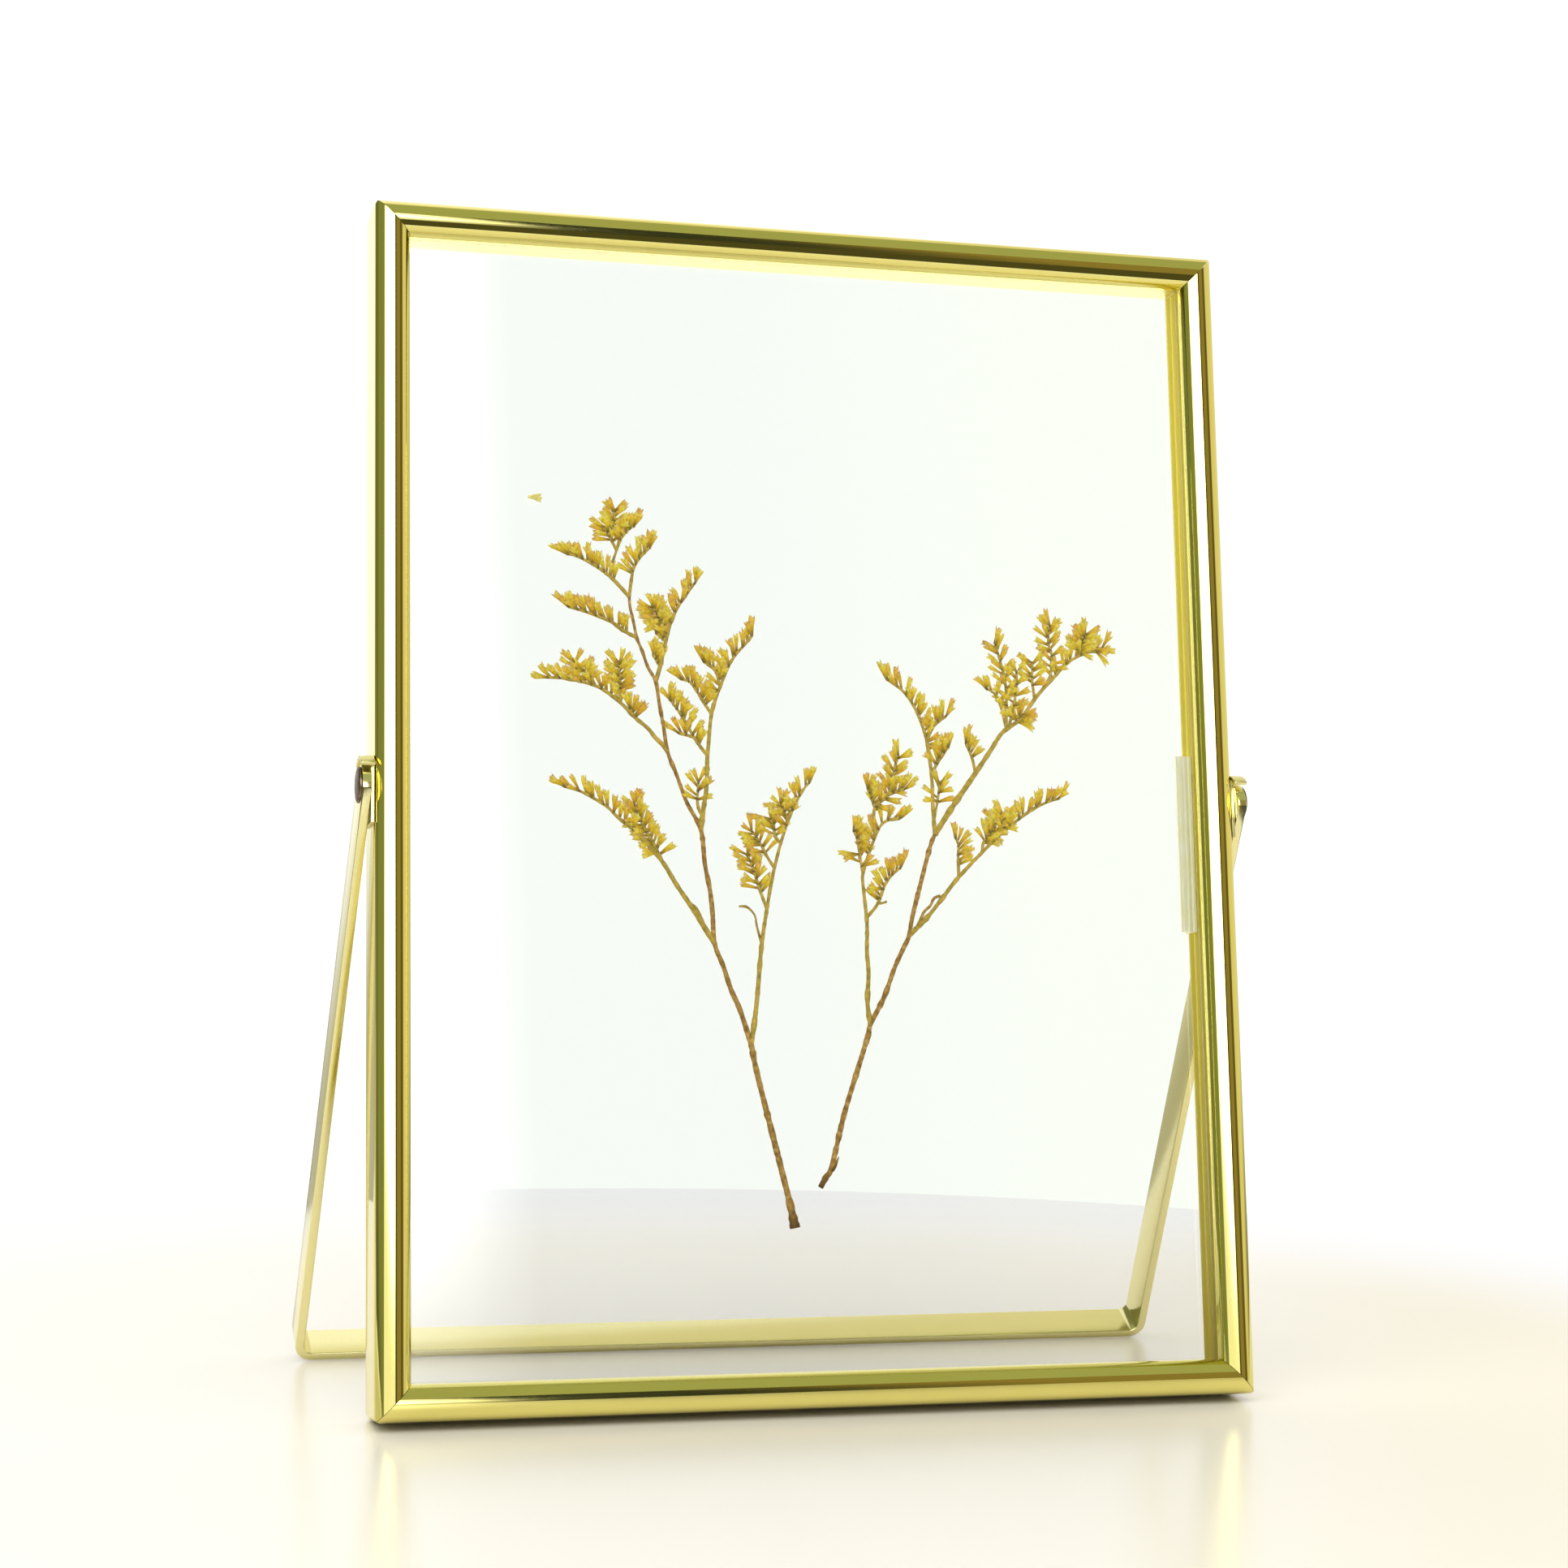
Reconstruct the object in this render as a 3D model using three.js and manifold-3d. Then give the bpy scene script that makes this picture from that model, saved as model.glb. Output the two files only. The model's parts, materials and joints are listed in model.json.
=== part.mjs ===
// A pressed flower frame: two flower sprigs held between two panes of glass in a slim brass
// frame that leans back on a hinged strip stand.
//
// Millimetres. The frame is drawn upright first: X to the right, Y from the front of the frame
// towards its back, Z up from its bottom edge. The whole assembly is then leaned back until the
// rear bottom edge and the stand's bar both touch the ground, and centred over the origin.

import * as THREE from 'three';
import { mergeVertices } from 'three/addons/utils/BufferGeometryUtils.js';
import Module from 'manifold-3d';

const wasm = await Module();
wasm.setup();

// Clear space between pieces that touch or that are cut by one another.
const GAP = 0.3;

// How far a shape that only trims another reaches past it.
const PAST = 1;

// The frame and its members.
const FRAME_WIDTH = 150;
const FRAME_HEIGHT = 200;
const FRAME_DEPTH = 12;
const MEMBER_WIDTH = 6;
const BEAD_RADIUS = MEMBER_WIDTH / 2;
const WALL_THICKNESS = 5.2;
const LIP_BACK = 3.3;
const REAR_EDGE_RADIUS = 0.6;
const CORNER_RADIUS = 1.4;

// The two panes and the sheet of air between them in which the sprigs lie.
const PANE_THICKNESS = 1.6;
const PANE_WIDTH = FRAME_WIDTH - 2 * (WALL_THICKNESS + GAP);
const PANE_HEIGHT = FRAME_HEIGHT - 2 * (WALL_THICKNESS + GAP);
const FRONT_PANE_FACE = LIP_BACK + GAP;
const PRESSED_SPACE = 1.1;
const REAR_PANE_FACE = FRONT_PANE_FACE + PANE_THICKNESS + PRESSED_SPACE;
const REAR_PANE_BACK = REAR_PANE_FACE + PANE_THICKNESS;
const SPRIG_MIDDLE = FRONT_PANE_FACE + PANE_THICKNESS + PRESSED_SPACE / 2;
const SPRIG_THICKNESS = 0.5;

// The retaining clip, an angle strip behind the rear pane at the right.
const CLIP_BOTTOM = 79.3;
const CLIP_LENGTH = 31;
const CLIP_THICKNESS = 0.8;
const CLIP_FLANGE = 2.6;

// The hinges. The pivot lies a little above the middle of the side members.
const PIVOT_HEIGHT = 101.67;
const PIVOT_DEPTH = 3.8;
const BRACKET_THICKNESS = 0.8;
const BRACKET_RADIUS = 4.8;
const BRACKET_FRONT = 1.2;
const BRACKET_BACK = 10.6;
const BRACKET_BOTTOM = 95.4;
const BRACKET_SHOULDER = 1;
const HOLE_RADIUS = 1.6;
const HOLE_DEPTH = 2.4;
const SHANK_RADIUS = 1.3;
const SHANK_DEPTH = 1.8;
const RIVET_HEAD_RADIUS = 3;
const RIVET_HEAD_HEIGHT = 1;

// The rivet's low dome, as shares of the head's height and radius.
const RIVET_DOME = [[0, 1], [0.35, 0.93], [0.75, 0.65], [1, 0.25], [1, 0]];

// The stand, one strip of metal bent into a U.
const STRIP_WIDTH = 7;
const STRIP_THICKNESS = 1.5;
const LEG_OUTSIDE_AT_PIVOT = FRAME_WIDTH / 2 + GAP + BRACKET_THICKNESS + GAP + STRIP_THICKNESS;
const LEG_OUTSIDE_AT_BAR = 80.1;
const LEG_LENGTH = 112.1;
const LEG_TOP = 3.2;
const LEG_TOP_RADIUS = 4;
const BEND_RADIUS = 3;
const BEND_STEPS = 5;
const STAND_ANGLE = THREE.MathUtils.degToRad(34.94);

const BRASS = { color: 0xc9b450, roughness: 0.14, metalness: 1 };
const PALE_BRASS = { color: 0xe6d98c, roughness: 0.2, metalness: 1 };
const DARK_STEEL = { color: 0x5a4f45, roughness: 0.35, metalness: 0.9 };
const GLASS = { color: 0xeaf3ec, roughness: 0.02, metalness: 0 };
const FROSTED_PLASTIC = { color: 0xdcdcc4, roughness: 0.4, metalness: 0 };
const DRIED_STEM = { color: 0xa07c2c, roughness: 0.8, metalness: 0 };
const DRIED_FLOWER = { color: 0xd8ac26, roughness: 0.85, metalness: 0 };

// ---------------------------------------------------------------- solids

// A closed solid from a three.js geometry, with its shared corners merged.
function solidOf(geometry) {
  const bare = geometry.index ? geometry.toNonIndexed() : geometry.clone();
  bare.deleteAttribute('normal');
  bare.deleteAttribute('uv');
  const merged = mergeVertices(bare, 1e-4);
  return new wasm.Manifold(new wasm.Mesh({
    numProp: 3,
    vertProperties: new Float32Array(merged.attributes.position.array),
    triVerts: new Uint32Array(merged.index.array),
  }));
}

function geometryOf(solid) {
  const mesh = solid.getMesh();
  const geometry = new THREE.BufferGeometry();
  geometry.setAttribute('position', new THREE.BufferAttribute(mesh.vertProperties, 3));
  geometry.setIndex(new THREE.BufferAttribute(mesh.triVerts, 1));
  geometry.computeVertexNormals();
  return geometry;
}

function joined(solids) {
  return solids.reduce((whole, solid) => whole.add(solid));
}

// A closed outline from plain points.
function outline(points) {
  return new THREE.Shape(points.map(([x, y]) => new THREE.Vector2(x, y)));
}

// A shape drawn as seen from the front, X across and Z up, made thick from one depth to another.
function slab(shape, from, to, curveSegments = 6) {
  const geometry = new THREE.ExtrudeGeometry(shape, {
    depth: to - from, bevelEnabled: false, curveSegments,
  });
  geometry.rotateX(Math.PI / 2);
  geometry.translate(0, to, 0);
  return solidOf(geometry);
}

// A shape drawn as seen from the right-hand side, Y across and Z up, made thick along X.
function sidePlate(shape, from, to, curveSegments = 8) {
  const geometry = new THREE.ExtrudeGeometry(shape, {
    depth: to - from, bevelEnabled: false, curveSegments,
  });
  geometry.rotateX(Math.PI / 2);
  geometry.rotateZ(Math.PI / 2);
  geometry.translate(from, 0, 0);
  return solidOf(geometry);
}

// A solid turned around a line along X, from points of [place along X, radius].
function turnedAlongX(profile, depth, height, segments = 16) {
  const geometry = new THREE.LatheGeometry(
    profile.map(([along, radius]) => new THREE.Vector2(radius, along)), segments,
  );
  geometry.rotateZ(-Math.PI / 2);
  geometry.translate(0, depth, height);
  return solidOf(geometry);
}

function piece(name, solid, finish) {
  const mesh = new THREE.Mesh(geometryOf(solid), new THREE.MeshStandardMaterial(finish));
  mesh.name = name;
  return mesh;
}

// ---------------------------------------------------------------- frame members

// The section of a member: a half-round bead in front, a flat outer wall, a lip that keeps the
// glass in, and a slightly rounded rear edge. X runs inwards from the outer face, Y backwards.
function memberSection() {
  const section = new THREE.Shape();
  section.moveTo(0, BEAD_RADIUS);
  section.absarc(BEAD_RADIUS, BEAD_RADIUS, BEAD_RADIUS, Math.PI, 2 * Math.PI, false);
  section.lineTo(MEMBER_WIDTH, LIP_BACK);
  section.lineTo(WALL_THICKNESS, LIP_BACK);
  section.lineTo(WALL_THICKNESS, FRAME_DEPTH);
  section.lineTo(REAR_EDGE_RADIUS, FRAME_DEPTH);
  section.absarc(
    REAR_EDGE_RADIUS, FRAME_DEPTH - REAR_EDGE_RADIUS, REAR_EDGE_RADIUS,
    Math.PI / 2, Math.PI, false,
  );
  return section;
}

function roundedRectangle(width, height, radius) {
  const shape = new THREE.Shape();
  shape.absarc(width - radius, radius, radius, -Math.PI / 2, 0, false);
  shape.absarc(width - radius, height - radius, radius, 0, Math.PI / 2, false);
  shape.absarc(radius, height - radius, radius, Math.PI / 2, Math.PI, false);
  shape.absarc(radius, radius, radius, Math.PI, 1.5 * Math.PI, false);
  return shape;
}

// A member of the given length, lying along Z with its outer face at X = 0, mitred at both ends.
// The frame's rounded outline trims its corners; across is the frame's size the other way.
function member(length, across) {
  const bar = solidOf(new THREE.ExtrudeGeometry(memberSection(), {
    depth: length, bevelEnabled: false, curveSegments: 7,
  }));
  const reach = MEMBER_WIDTH + PAST;
  const seam = GAP / Math.SQRT2;
  const mitres = outline([
    [0, seam], [reach, reach + seam], [reach, length - reach - seam], [0, length - seam],
  ]);
  const corners = roundedRectangle(across, length, CORNER_RADIUS);
  return bar
    .intersect(slab(mitres, -PAST, FRAME_DEPTH + PAST))
    .intersect(slab(corners, -PAST, FRAME_DEPTH + PAST));
}

// A blind hole in a side member's outer face for the rivet's shank, as an upright drill.
function drill(height) {
  return turnedAlongX(
    [[-PAST, 0], [-PAST, HOLE_RADIUS], [HOLE_DEPTH, HOLE_RADIUS], [HOLE_DEPTH, 0]],
    PIVOT_DEPTH, height,
  );
}

function frameMembers() {
  const group = new THREE.Group();
  const side = member(FRAME_HEIGHT, FRAME_WIDTH);
  const cross = member(FRAME_WIDTH, FRAME_HEIGHT);

  const left = piece('frame_left', side.subtract(drill(PIVOT_HEIGHT)), BRASS);
  left.position.set(-FRAME_WIDTH / 2, 0, 0);

  const fromTop = FRAME_HEIGHT - PIVOT_HEIGHT;
  const right = piece('frame_right', side.subtract(drill(fromTop)), BRASS);
  right.position.set(FRAME_WIDTH / 2, 0, FRAME_HEIGHT);
  right.rotation.y = Math.PI;

  const top = piece('frame_top', cross, BRASS);
  top.position.set(-FRAME_WIDTH / 2, 0, FRAME_HEIGHT);
  top.rotation.y = Math.PI / 2;

  const bottom = piece('frame_bottom', cross, BRASS);
  bottom.position.set(FRAME_WIDTH / 2, 0, 0);
  bottom.rotation.y = -Math.PI / 2;

  group.add(left, right, top, bottom);
  return group;
}

// ---------------------------------------------------------------- glass and clip

function pane(name, face) {
  const geometry = new THREE.BoxGeometry(PANE_WIDTH, PANE_THICKNESS, PANE_HEIGHT);
  const mesh = new THREE.Mesh(geometry, new THREE.MeshStandardMaterial(GLASS));
  mesh.name = name;
  mesh.position.set(0, face + PANE_THICKNESS / 2, FRAME_HEIGHT / 2);
  return mesh;
}

// An angle strip: its flange lies on the rear pane and its web against the member's inner wall.
function retainingClip() {
  const wall = FRAME_WIDTH / 2 - WALL_THICKNESS - GAP;
  const face = REAR_PANE_BACK + GAP;
  const section = outline([
    [wall, face],
    [wall, FRAME_DEPTH],
    [wall - CLIP_THICKNESS, FRAME_DEPTH],
    [wall - CLIP_THICKNESS, face + CLIP_THICKNESS],
    [wall - CLIP_FLANGE, face + CLIP_THICKNESS],
    [wall - CLIP_FLANGE, face],
  ]);
  const geometry = new THREE.ExtrudeGeometry(section, { depth: CLIP_LENGTH, bevelEnabled: false });
  const mesh = new THREE.Mesh(geometry, new THREE.MeshStandardMaterial(FROSTED_PLASTIC));
  mesh.name = 'retaining_clip';
  mesh.position.z = CLIP_BOTTOM;
  return mesh;
}

// ---------------------------------------------------------------- hinges

// A plate on the member's outer wall, on the side of the frame that faces 1 or -1 along X.
function bracketSolid(outwards) {
  const middle = outwards * (FRAME_WIDTH / 2 + GAP + BRACKET_THICKNESS / 2);
  const shape = new THREE.Shape();
  const turn = Math.acos((BRACKET_FRONT - PIVOT_DEPTH) / BRACKET_RADIUS);
  shape.moveTo(BRACKET_FRONT, BRACKET_BOTTOM);
  shape.lineTo(BRACKET_BACK, BRACKET_BOTTOM);
  shape.lineTo(BRACKET_BACK, PIVOT_HEIGHT + BRACKET_SHOULDER);
  shape.quadraticCurveTo(
    BRACKET_BACK, PIVOT_HEIGHT + BRACKET_RADIUS, PIVOT_DEPTH, PIVOT_HEIGHT + BRACKET_RADIUS,
  );
  shape.absarc(PIVOT_DEPTH, PIVOT_HEIGHT, BRACKET_RADIUS, Math.PI / 2, turn, false);
  const hole = new THREE.Path();
  hole.absarc(PIVOT_DEPTH, PIVOT_HEIGHT, HOLE_RADIUS, 0, 2 * Math.PI, true);
  shape.holes.push(hole);
  return sidePlate(shape, middle - BRACKET_THICKNESS / 2, middle + BRACKET_THICKNESS / 2);
}

// A rivet whose shank sits in the member and whose head lies outside the leg. The profile for
// the left side is the same one the other way round.
function rivetSolid(outwards) {
  const end = FRAME_WIDTH / 2 - SHANK_DEPTH;
  const under = LEG_OUTSIDE_AT_PIVOT + GAP;
  const right = [
    [end, 0],
    [end, SHANK_RADIUS],
    [under, SHANK_RADIUS],
    ...RIVET_DOME.map(([rise, share]) => (
      [under + rise * RIVET_HEAD_HEIGHT, share * RIVET_HEAD_RADIUS]
    )),
  ];
  const left = right.map(([along, radius]) => [-along, radius]).reverse();
  return turnedAlongX(outwards > 0 ? right : left, PIVOT_DEPTH, PIVOT_HEIGHT);
}

function hinge(side, outwards) {
  const group = new THREE.Group();
  group.add(
    piece(`hinge_bracket_${side}`, bracketSolid(outwards), PALE_BRASS),
    piece(`hinge_rivet_${side}`, rivetSolid(outwards), DARK_STEEL),
  );
  return group;
}

// ---------------------------------------------------------------- stand

// The strip seen square on: legs from the pivot down to the bar, with rounded bends.
// The origin is on the pivots' line, Z runs up along the legs.
function stripOutline(inset) {
  const slope = (LEG_OUTSIDE_AT_BAR - LEG_OUTSIDE_AT_PIVOT) / LEG_LENGTH;
  const outside = (height) => LEG_OUTSIDE_AT_PIVOT - slope * height - inset;
  const bottom = -LEG_LENGTH + inset;
  const radius = BEND_RADIUS - inset;
  const side = outside(bottom);
  const top = LEG_TOP + PAST;
  const right = [[outside(top), top]];
  for (let step = 0; step <= BEND_STEPS; step += 1) {
    const angle = step / BEND_STEPS * Math.PI / 2;
    right.push([
      side - radius + radius * Math.cos(angle),
      bottom + radius - radius * Math.sin(angle),
    ]);
  }
  const left = right.map(([x, z]) => [-x, z]).reverse();
  return [...right, ...left];
}

function standSolid() {
  const outer = stripOutline(0);
  const inner = stripOutline(STRIP_THICKNESS);
  const ribbon = slab(outline([...outer, ...inner.reverse()]), -STRIP_WIDTH / 2, STRIP_WIDTH / 2);

  const half = STRIP_WIDTH / 2;
  const shoulder = Math.sqrt(LEG_TOP_RADIUS ** 2 - half ** 2);
  const centre = LEG_TOP - LEG_TOP_RADIUS;
  const reach = Math.atan2(shoulder, half);
  const side = new THREE.Shape();
  side.moveTo(-half, -LEG_LENGTH);
  side.lineTo(half, -LEG_LENGTH);
  side.absarc(0, centre, LEG_TOP_RADIUS, reach, Math.PI - reach, false);
  const far = LEG_OUTSIDE_AT_BAR + PAST;
  const hole = turnedAlongX(
    [[-far, 0], [-far, HOLE_RADIUS], [far, HOLE_RADIUS], [far, 0]], 0, 0,
  );
  return ribbon.intersect(sidePlate(side, -far, far)).subtract(hole);
}

function stand() {
  const mesh = piece('stand', standSolid(), PALE_BRASS);
  mesh.position.set(0, PIVOT_DEPTH, PIVOT_HEIGHT);
  mesh.rotation.x = STAND_ANGLE;
  return mesh;
}

// ---------------------------------------------------------------- pressed sprigs

// Twigs and sprays are drawn in the frame's plane: X from its middle line, Z from its bottom
// edge. A twig is a route with its width at both ends. A spray adds florets along part of the
// route, on its left (1) or right (-1) side as it grows, or on both (0).
const twig = (route, startWidth, endWidth) => ({ route, startWidth, endWidth, florets: 0 });
const spray = (route, startWidth, side, florets, from = 0.3) => (
  { route, startWidth, endWidth: 0.3, side, florets, from }
);

// A floret, and how it leans away from its twig at the start and at the tip of a spray. Where a
// neighbour is in its way it is made shorter, and it starts a little inside its own twig.
const FLORET_LENGTH = 3;
const FLORET_WIDTH = 1.5;
const FLORET_WIDEST = 0.62;
const FLORET_ROOT = 0.35;
const FLORET_LEAN_FIRST = THREE.MathUtils.degToRad(62);
const FLORET_LEAN_LAST = THREE.MathUtils.degToRad(34);
const FLORET_SHORTER = 0.62;
const LAST_FLORET = 0.96;
const LOOSE_FLORET_LENGTH = 2.1;

// How finely a route is followed, and searched for the place where a side twig starts.
const ROUTE_STEP = 2.8;
const ROOT_STEPS = 200;

const LEFT_STEM = {
  lower: [twig([[-4.8, 29.3], [-5.7, 33.7], [-8, 43.1], [-10, 51.2], [-11.8, 59.5]], 1.5, 0.95)],
  middle: [
    twig([[-11.8, 59.5], [-13.6, 65.3], [-16.4, 72.7], [-17.8, 76.4]], 1.2, 0.9),
    twig([[-17.8, 76.4], [-18.1, 81.6], [-18.9, 88], [-19.9, 95.5]], 1, 0.8),
  ],
  upper: [
    twig([[-19.9, 95.5], [-23.9, 104.6], [-25.4, 108.5], [-26.8, 117], [-27.3, 120.4]], 0.9, 0.7),
    twig([[-27.3, 120.4], [-29.6, 125.6], [-31, 130.4], [-31.7, 134.8]], 0.75, 0.6),
  ],
};

const LEFT_BRANCHES = {
  b: [
    spray([[-11.8, 59.5], [-10.8, 66], [-9.7, 76.2], [-7.9, 86.4], [-6.2, 93], [-3.3, 100.4],
      [1, 105.5]], 0.8, 1, 4, 0.8),
    twig([[-9.7, 76.2], [-10.8, 81.2], [-12.1, 82.6], [-13.5, 82.7]], 0.4, 0.4),
    spray([[-8.9, 82.3], [-9.8, 85.4], [-11.2, 89.8], [-13.4, 93.3]], 0.45, 0, 4),
    spray([[-7.4, 89.2], [-9.7, 93.5], [-11.1, 95.4], [-13.1, 96.1]], 0.45, 0, 2, 0.4),
    spray([[-6.4, 93.6], [-7.1, 94.8], [-7.4, 97], [-9.8, 98.8]], 0.4, 0, 2, 0.4),
    spray([[-4.9, 97], [-5.4, 99.1], [-7.3, 102.1]], 0.4, 0, 2, 0.4),
  ],
  c: [
    spray([[-17.8, 76.4], [-22, 83], [-26.4, 89.8], [-31.1, 95], [-35.9, 99.1], [-41.5, 102],
      [-45.3, 102.6]], 0.9, -1, 5, 0.6),
    twig([[-18.6, 78.5], [-20.6, 81.9], [-21.7, 83]], 0.4, 0.4),
    spray([[-26.6, 90.5], [-29.2, 95], [-30.8, 98.3], [-32, 101.7]], 0.6, 0, 5, 0.25),
  ],
  d: [
    spray([[-19.9, 95.5], [-18.8, 102.8], [-18.4, 109.6], [-17.8, 114.9], [-16.1, 120],
      [-13.3, 125.6], [-9.1, 130.8]], 0.8, 1, 4, 0.66),
    spray([[-19.9, 97.7], [-20.4, 99.9], [-20.5, 105.7]], 0.4, 0, 2, 0.55),
    spray([[-18.7, 108.1], [-22.4, 113.9], [-25.2, 117.8]], 0.5, -1, 3),
    spray([[-17.8, 115.1], [-20.3, 119.1], [-21.7, 120.7], [-25.1, 121.2]], 0.45, -1, 4),
    spray([[-16.2, 119.8], [-17, 122.6], [-20.8, 125.3]], 0.4, -1, 2),
  ],
  e: [
    spray([[-25.4, 108.5], [-28.7, 112.4], [-33.2, 116.5], [-36.5, 118.9], [-42.2, 120.4],
      [-48.1, 120.4]], 0.7, -1, 5, 0.5),
    spray([[-38.5, 119.6], [-39.3, 121.4], [-39.8, 123.5]], 0.4, 0, 2),
    spray([[-32.9, 117.3], [-33.4, 120.1], [-33.1, 125.7]], 0.4, 0, 3),
    spray([[-41.1, 120.5], [-41.3, 123.4], [-41.9, 125.4]], 0.4, 0, 2, 0.7),
    spray([[-30.5, 113.9], [-31.9, 115.9], [-32.4, 116.6]], 0.4, -1, 2, 0.1),
  ],
  f: [
    spray([[-27.3, 120.4], [-26.5, 123.2], [-24.7, 130.3], [-23.2, 133.5], [-18.8, 139.5]],
      0.7, 1, 4, 0.5),
    spray([[-25.9, 128.8], [-26.4, 130.8], [-27.9, 133.3]], 0.45, 0, 2),
    spray([[-26.6, 122.9], [-27.4, 125]], 0.4, -1, 2),
  ],
  g: [
    spray([[-30.5, 127.8], [-34.7, 130.3], [-37.8, 131.5], [-44.3, 133.2]], 0.6, -1, 5, 0.15),
  ],
  h: [
    spray([[-31.7, 134.8], [-31.3, 137.7], [-30.9, 139.7], [-29.7, 141.7], [-26, 144.5]],
      0.5, 1, 4, 0.45),
  ],
  i: [
    spray([[-31.7, 134.8], [-34.4, 137.6], [-36.9, 139.5], [-39.7, 141], [-44.5, 141.4]],
      0.6, -1, 5, 0.4),
    twig([[-34.9, 138.4], [-34.6, 140.3], [-33.8, 142.7]], 0.5, 0.45),
    spray([[-34.1, 141.9], [-35, 145], [-36.8, 148.5]], 0.4, 0, 2, 0.4),
    spray([[-35, 145], [-34.3, 146.8], [-34.1, 150.6]], 0.4, 0, 2, 0.5),
    spray([[-34, 142.3], [-33, 144.8], [-31.1, 146.8], [-28.5, 147.4]], 0.4, 1, 2, 0.35),
  ],
};

const RIGHT_STEM = {
  lower: [
    twig([[-0.3, 35.9], [0.7, 37.6], [1.7, 39.2]], 0.9, 1.1),
    twig([[1.7, 39.2], [4, 47.7], [6.5, 55.1], [9, 62.9]], 0.85, 1.05),
  ],
  upper: [
    twig([[9, 62.9], [11.6, 67.7], [13.5, 72.5], [16.2, 77.9]], 1.05, 0.9),
    twig([[16.2, 77.9], [16.9, 81.2], [18.6, 87.2], [21.3, 95.4]], 0.9, 0.75),
  ],
};

const RIGHT_BRANCHES = {
  j: [
    spray([[9, 62.9], [8.6, 66.8], [8.9, 71.6], [8.8, 80.4], [8.3, 88.5], [9.7, 92.6],
      [12.7, 97.6], [17.3, 98.3]], 0.75, 1, 3, 0.84),
    spray([[8.2, 88.8], [7.7, 91.5], [6.3, 93.8]], 0.4, 0, 2),
    spray([[8.1, 90.8], [7.4, 94.5], [5.7, 97.7]], 0.4, -1, 2),
    spray([[10.3, 95], [10.6, 99.6], [12.8, 101.7], [13.9, 104.1], [15.9, 110.9]], 0.5, 0, 5, 0.4),
    spray([[10.5, 100], [9.8, 102.3], [8.7, 105.2]], 0.4, -1, 2),
    spray([[13.2, 101.7], [16, 103.1], [18.1, 102.4]], 0.4, 1, 2, 0.5),
  ],
  k: [
    spray([[8.8, 81], [10.8, 83.4], [12.1, 86.5], [13.3, 88.2], [17.1, 90]], 0.5, 1, 4, 0.4),
    twig([[10.8, 83.4], [11.6, 83.5], [12.4, 83.8]], 0.35, 0.4),
  ],
  l: [
    spray([[16.2, 77.9], [19.6, 81.2], [25.1, 87.8], [29.6, 92.3], [33.2, 95.6], [37.7, 99.1],
      [46.4, 102.3]], 0.7, 1, 5, 0.7),
    twig([[17.2, 79], [18.4, 80.9], [20.2, 83.2], [22, 84.9]], 0.4, 0.45),
    spray([[25.2, 88.1], [25.4, 91.7], [25.4, 94.1], [23.7, 96.7]], 0.45, -1, 3),
    spray([[29.6, 92.5], [30.2, 94.4], [32.2, 96.9], [31.4, 99.5]], 0.45, 0, 3),
    spray([[33.2, 95.6], [33.7, 97.9], [33.8, 101]], 0.4, 0, 2),
  ],
  n: [
    spray([[21.3, 95.4], [21.1, 99.8], [21, 105.2], [19.8, 113.4], [18.5, 116.8], [16.5, 119.8],
      [11.2, 123]], 0.65, -1, 5, 0.58),
    spray([[20.5, 111.4], [21.6, 114.1], [23.8, 115.9], [26, 116.6]], 0.45, 1, 2, 0.45),
    spray([[21.1, 105.9], [22.5, 108.3], [25.9, 112.1]], 0.4, 1, 3),
    spray([[21.5, 97.4], [22, 101.5], [23.5, 106.3]], 0.4, 0, 2, 0.55),
  ],
  o: [
    spray([[21.3, 95.4], [24.8, 100.5], [28.9, 106.1], [34.1, 113.4], [37.5, 115.9],
      [40.5, 119.8], [46.9, 126.3], [51, 128.1], [54.3, 127.4]], 0.95, 1, 3, 0.78),
    spray([[28.7, 106.1], [28.4, 108.8], [26.5, 113.5]], 0.4, -1, 2, 0.5),
    spray([[34.2, 114.4], [33.6, 118.9], [32.2, 120.6], [29.3, 121.5]], 0.4, -1, 2, 0.6),
    spray([[34.5, 114.7], [35, 118.6], [34.8, 122.7], [32.5, 131.3]], 0.5, 0, 5, 0.2),
    spray([[35.3, 114.8], [36.4, 118.6], [36.7, 126.3]], 0.4, 0, 3, 0.15),
    spray([[36.3, 115.2], [37.9, 116.6], [39.5, 116.3]], 0.4, 0, 2),
    spray([[40.1, 119.6], [39.8, 122.9], [38.9, 128.1]], 0.4, 0, 2, 0.45),
    spray([[41.3, 120.6], [43.2, 123.7], [43.6, 127.2], [43.9, 134.9]], 0.4, 0, 3, 0.55),
    spray([[48.7, 127.2], [49.3, 129.9], [51.2, 133.1]], 0.4, 0, 4, 0.2),
  ],
};

const LOOSE_FLORET = [-48.7, 151.2];

function curveOf(route) {
  return new THREE.CatmullRomCurve3(route.map(([x, z]) => new THREE.Vector3(x, z, 0)));
}

// The twigs of one branch with every side twig drawn from the nearest point of those before it.
function rooted(twigs) {
  const grown = [];
  twigs.forEach((part) => {
    const tip = new THREE.Vector3(part.route[0][0], part.route[0][1], 0);
    const points = grown.flatMap(({ route }) => curveOf(route).getSpacedPoints(ROOT_STEPS));
    const distances = points.map((point) => point.distanceTo(tip));
    const nearest = points[distances.indexOf(Math.min(...distances))];
    const start = nearest ? [[nearest.x, nearest.y]] : [];
    const rest = nearest ? part.route.slice(1) : part.route;
    grown.push({ ...part, route: [...start, ...rest] });
  });
  return grown;
}

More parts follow.
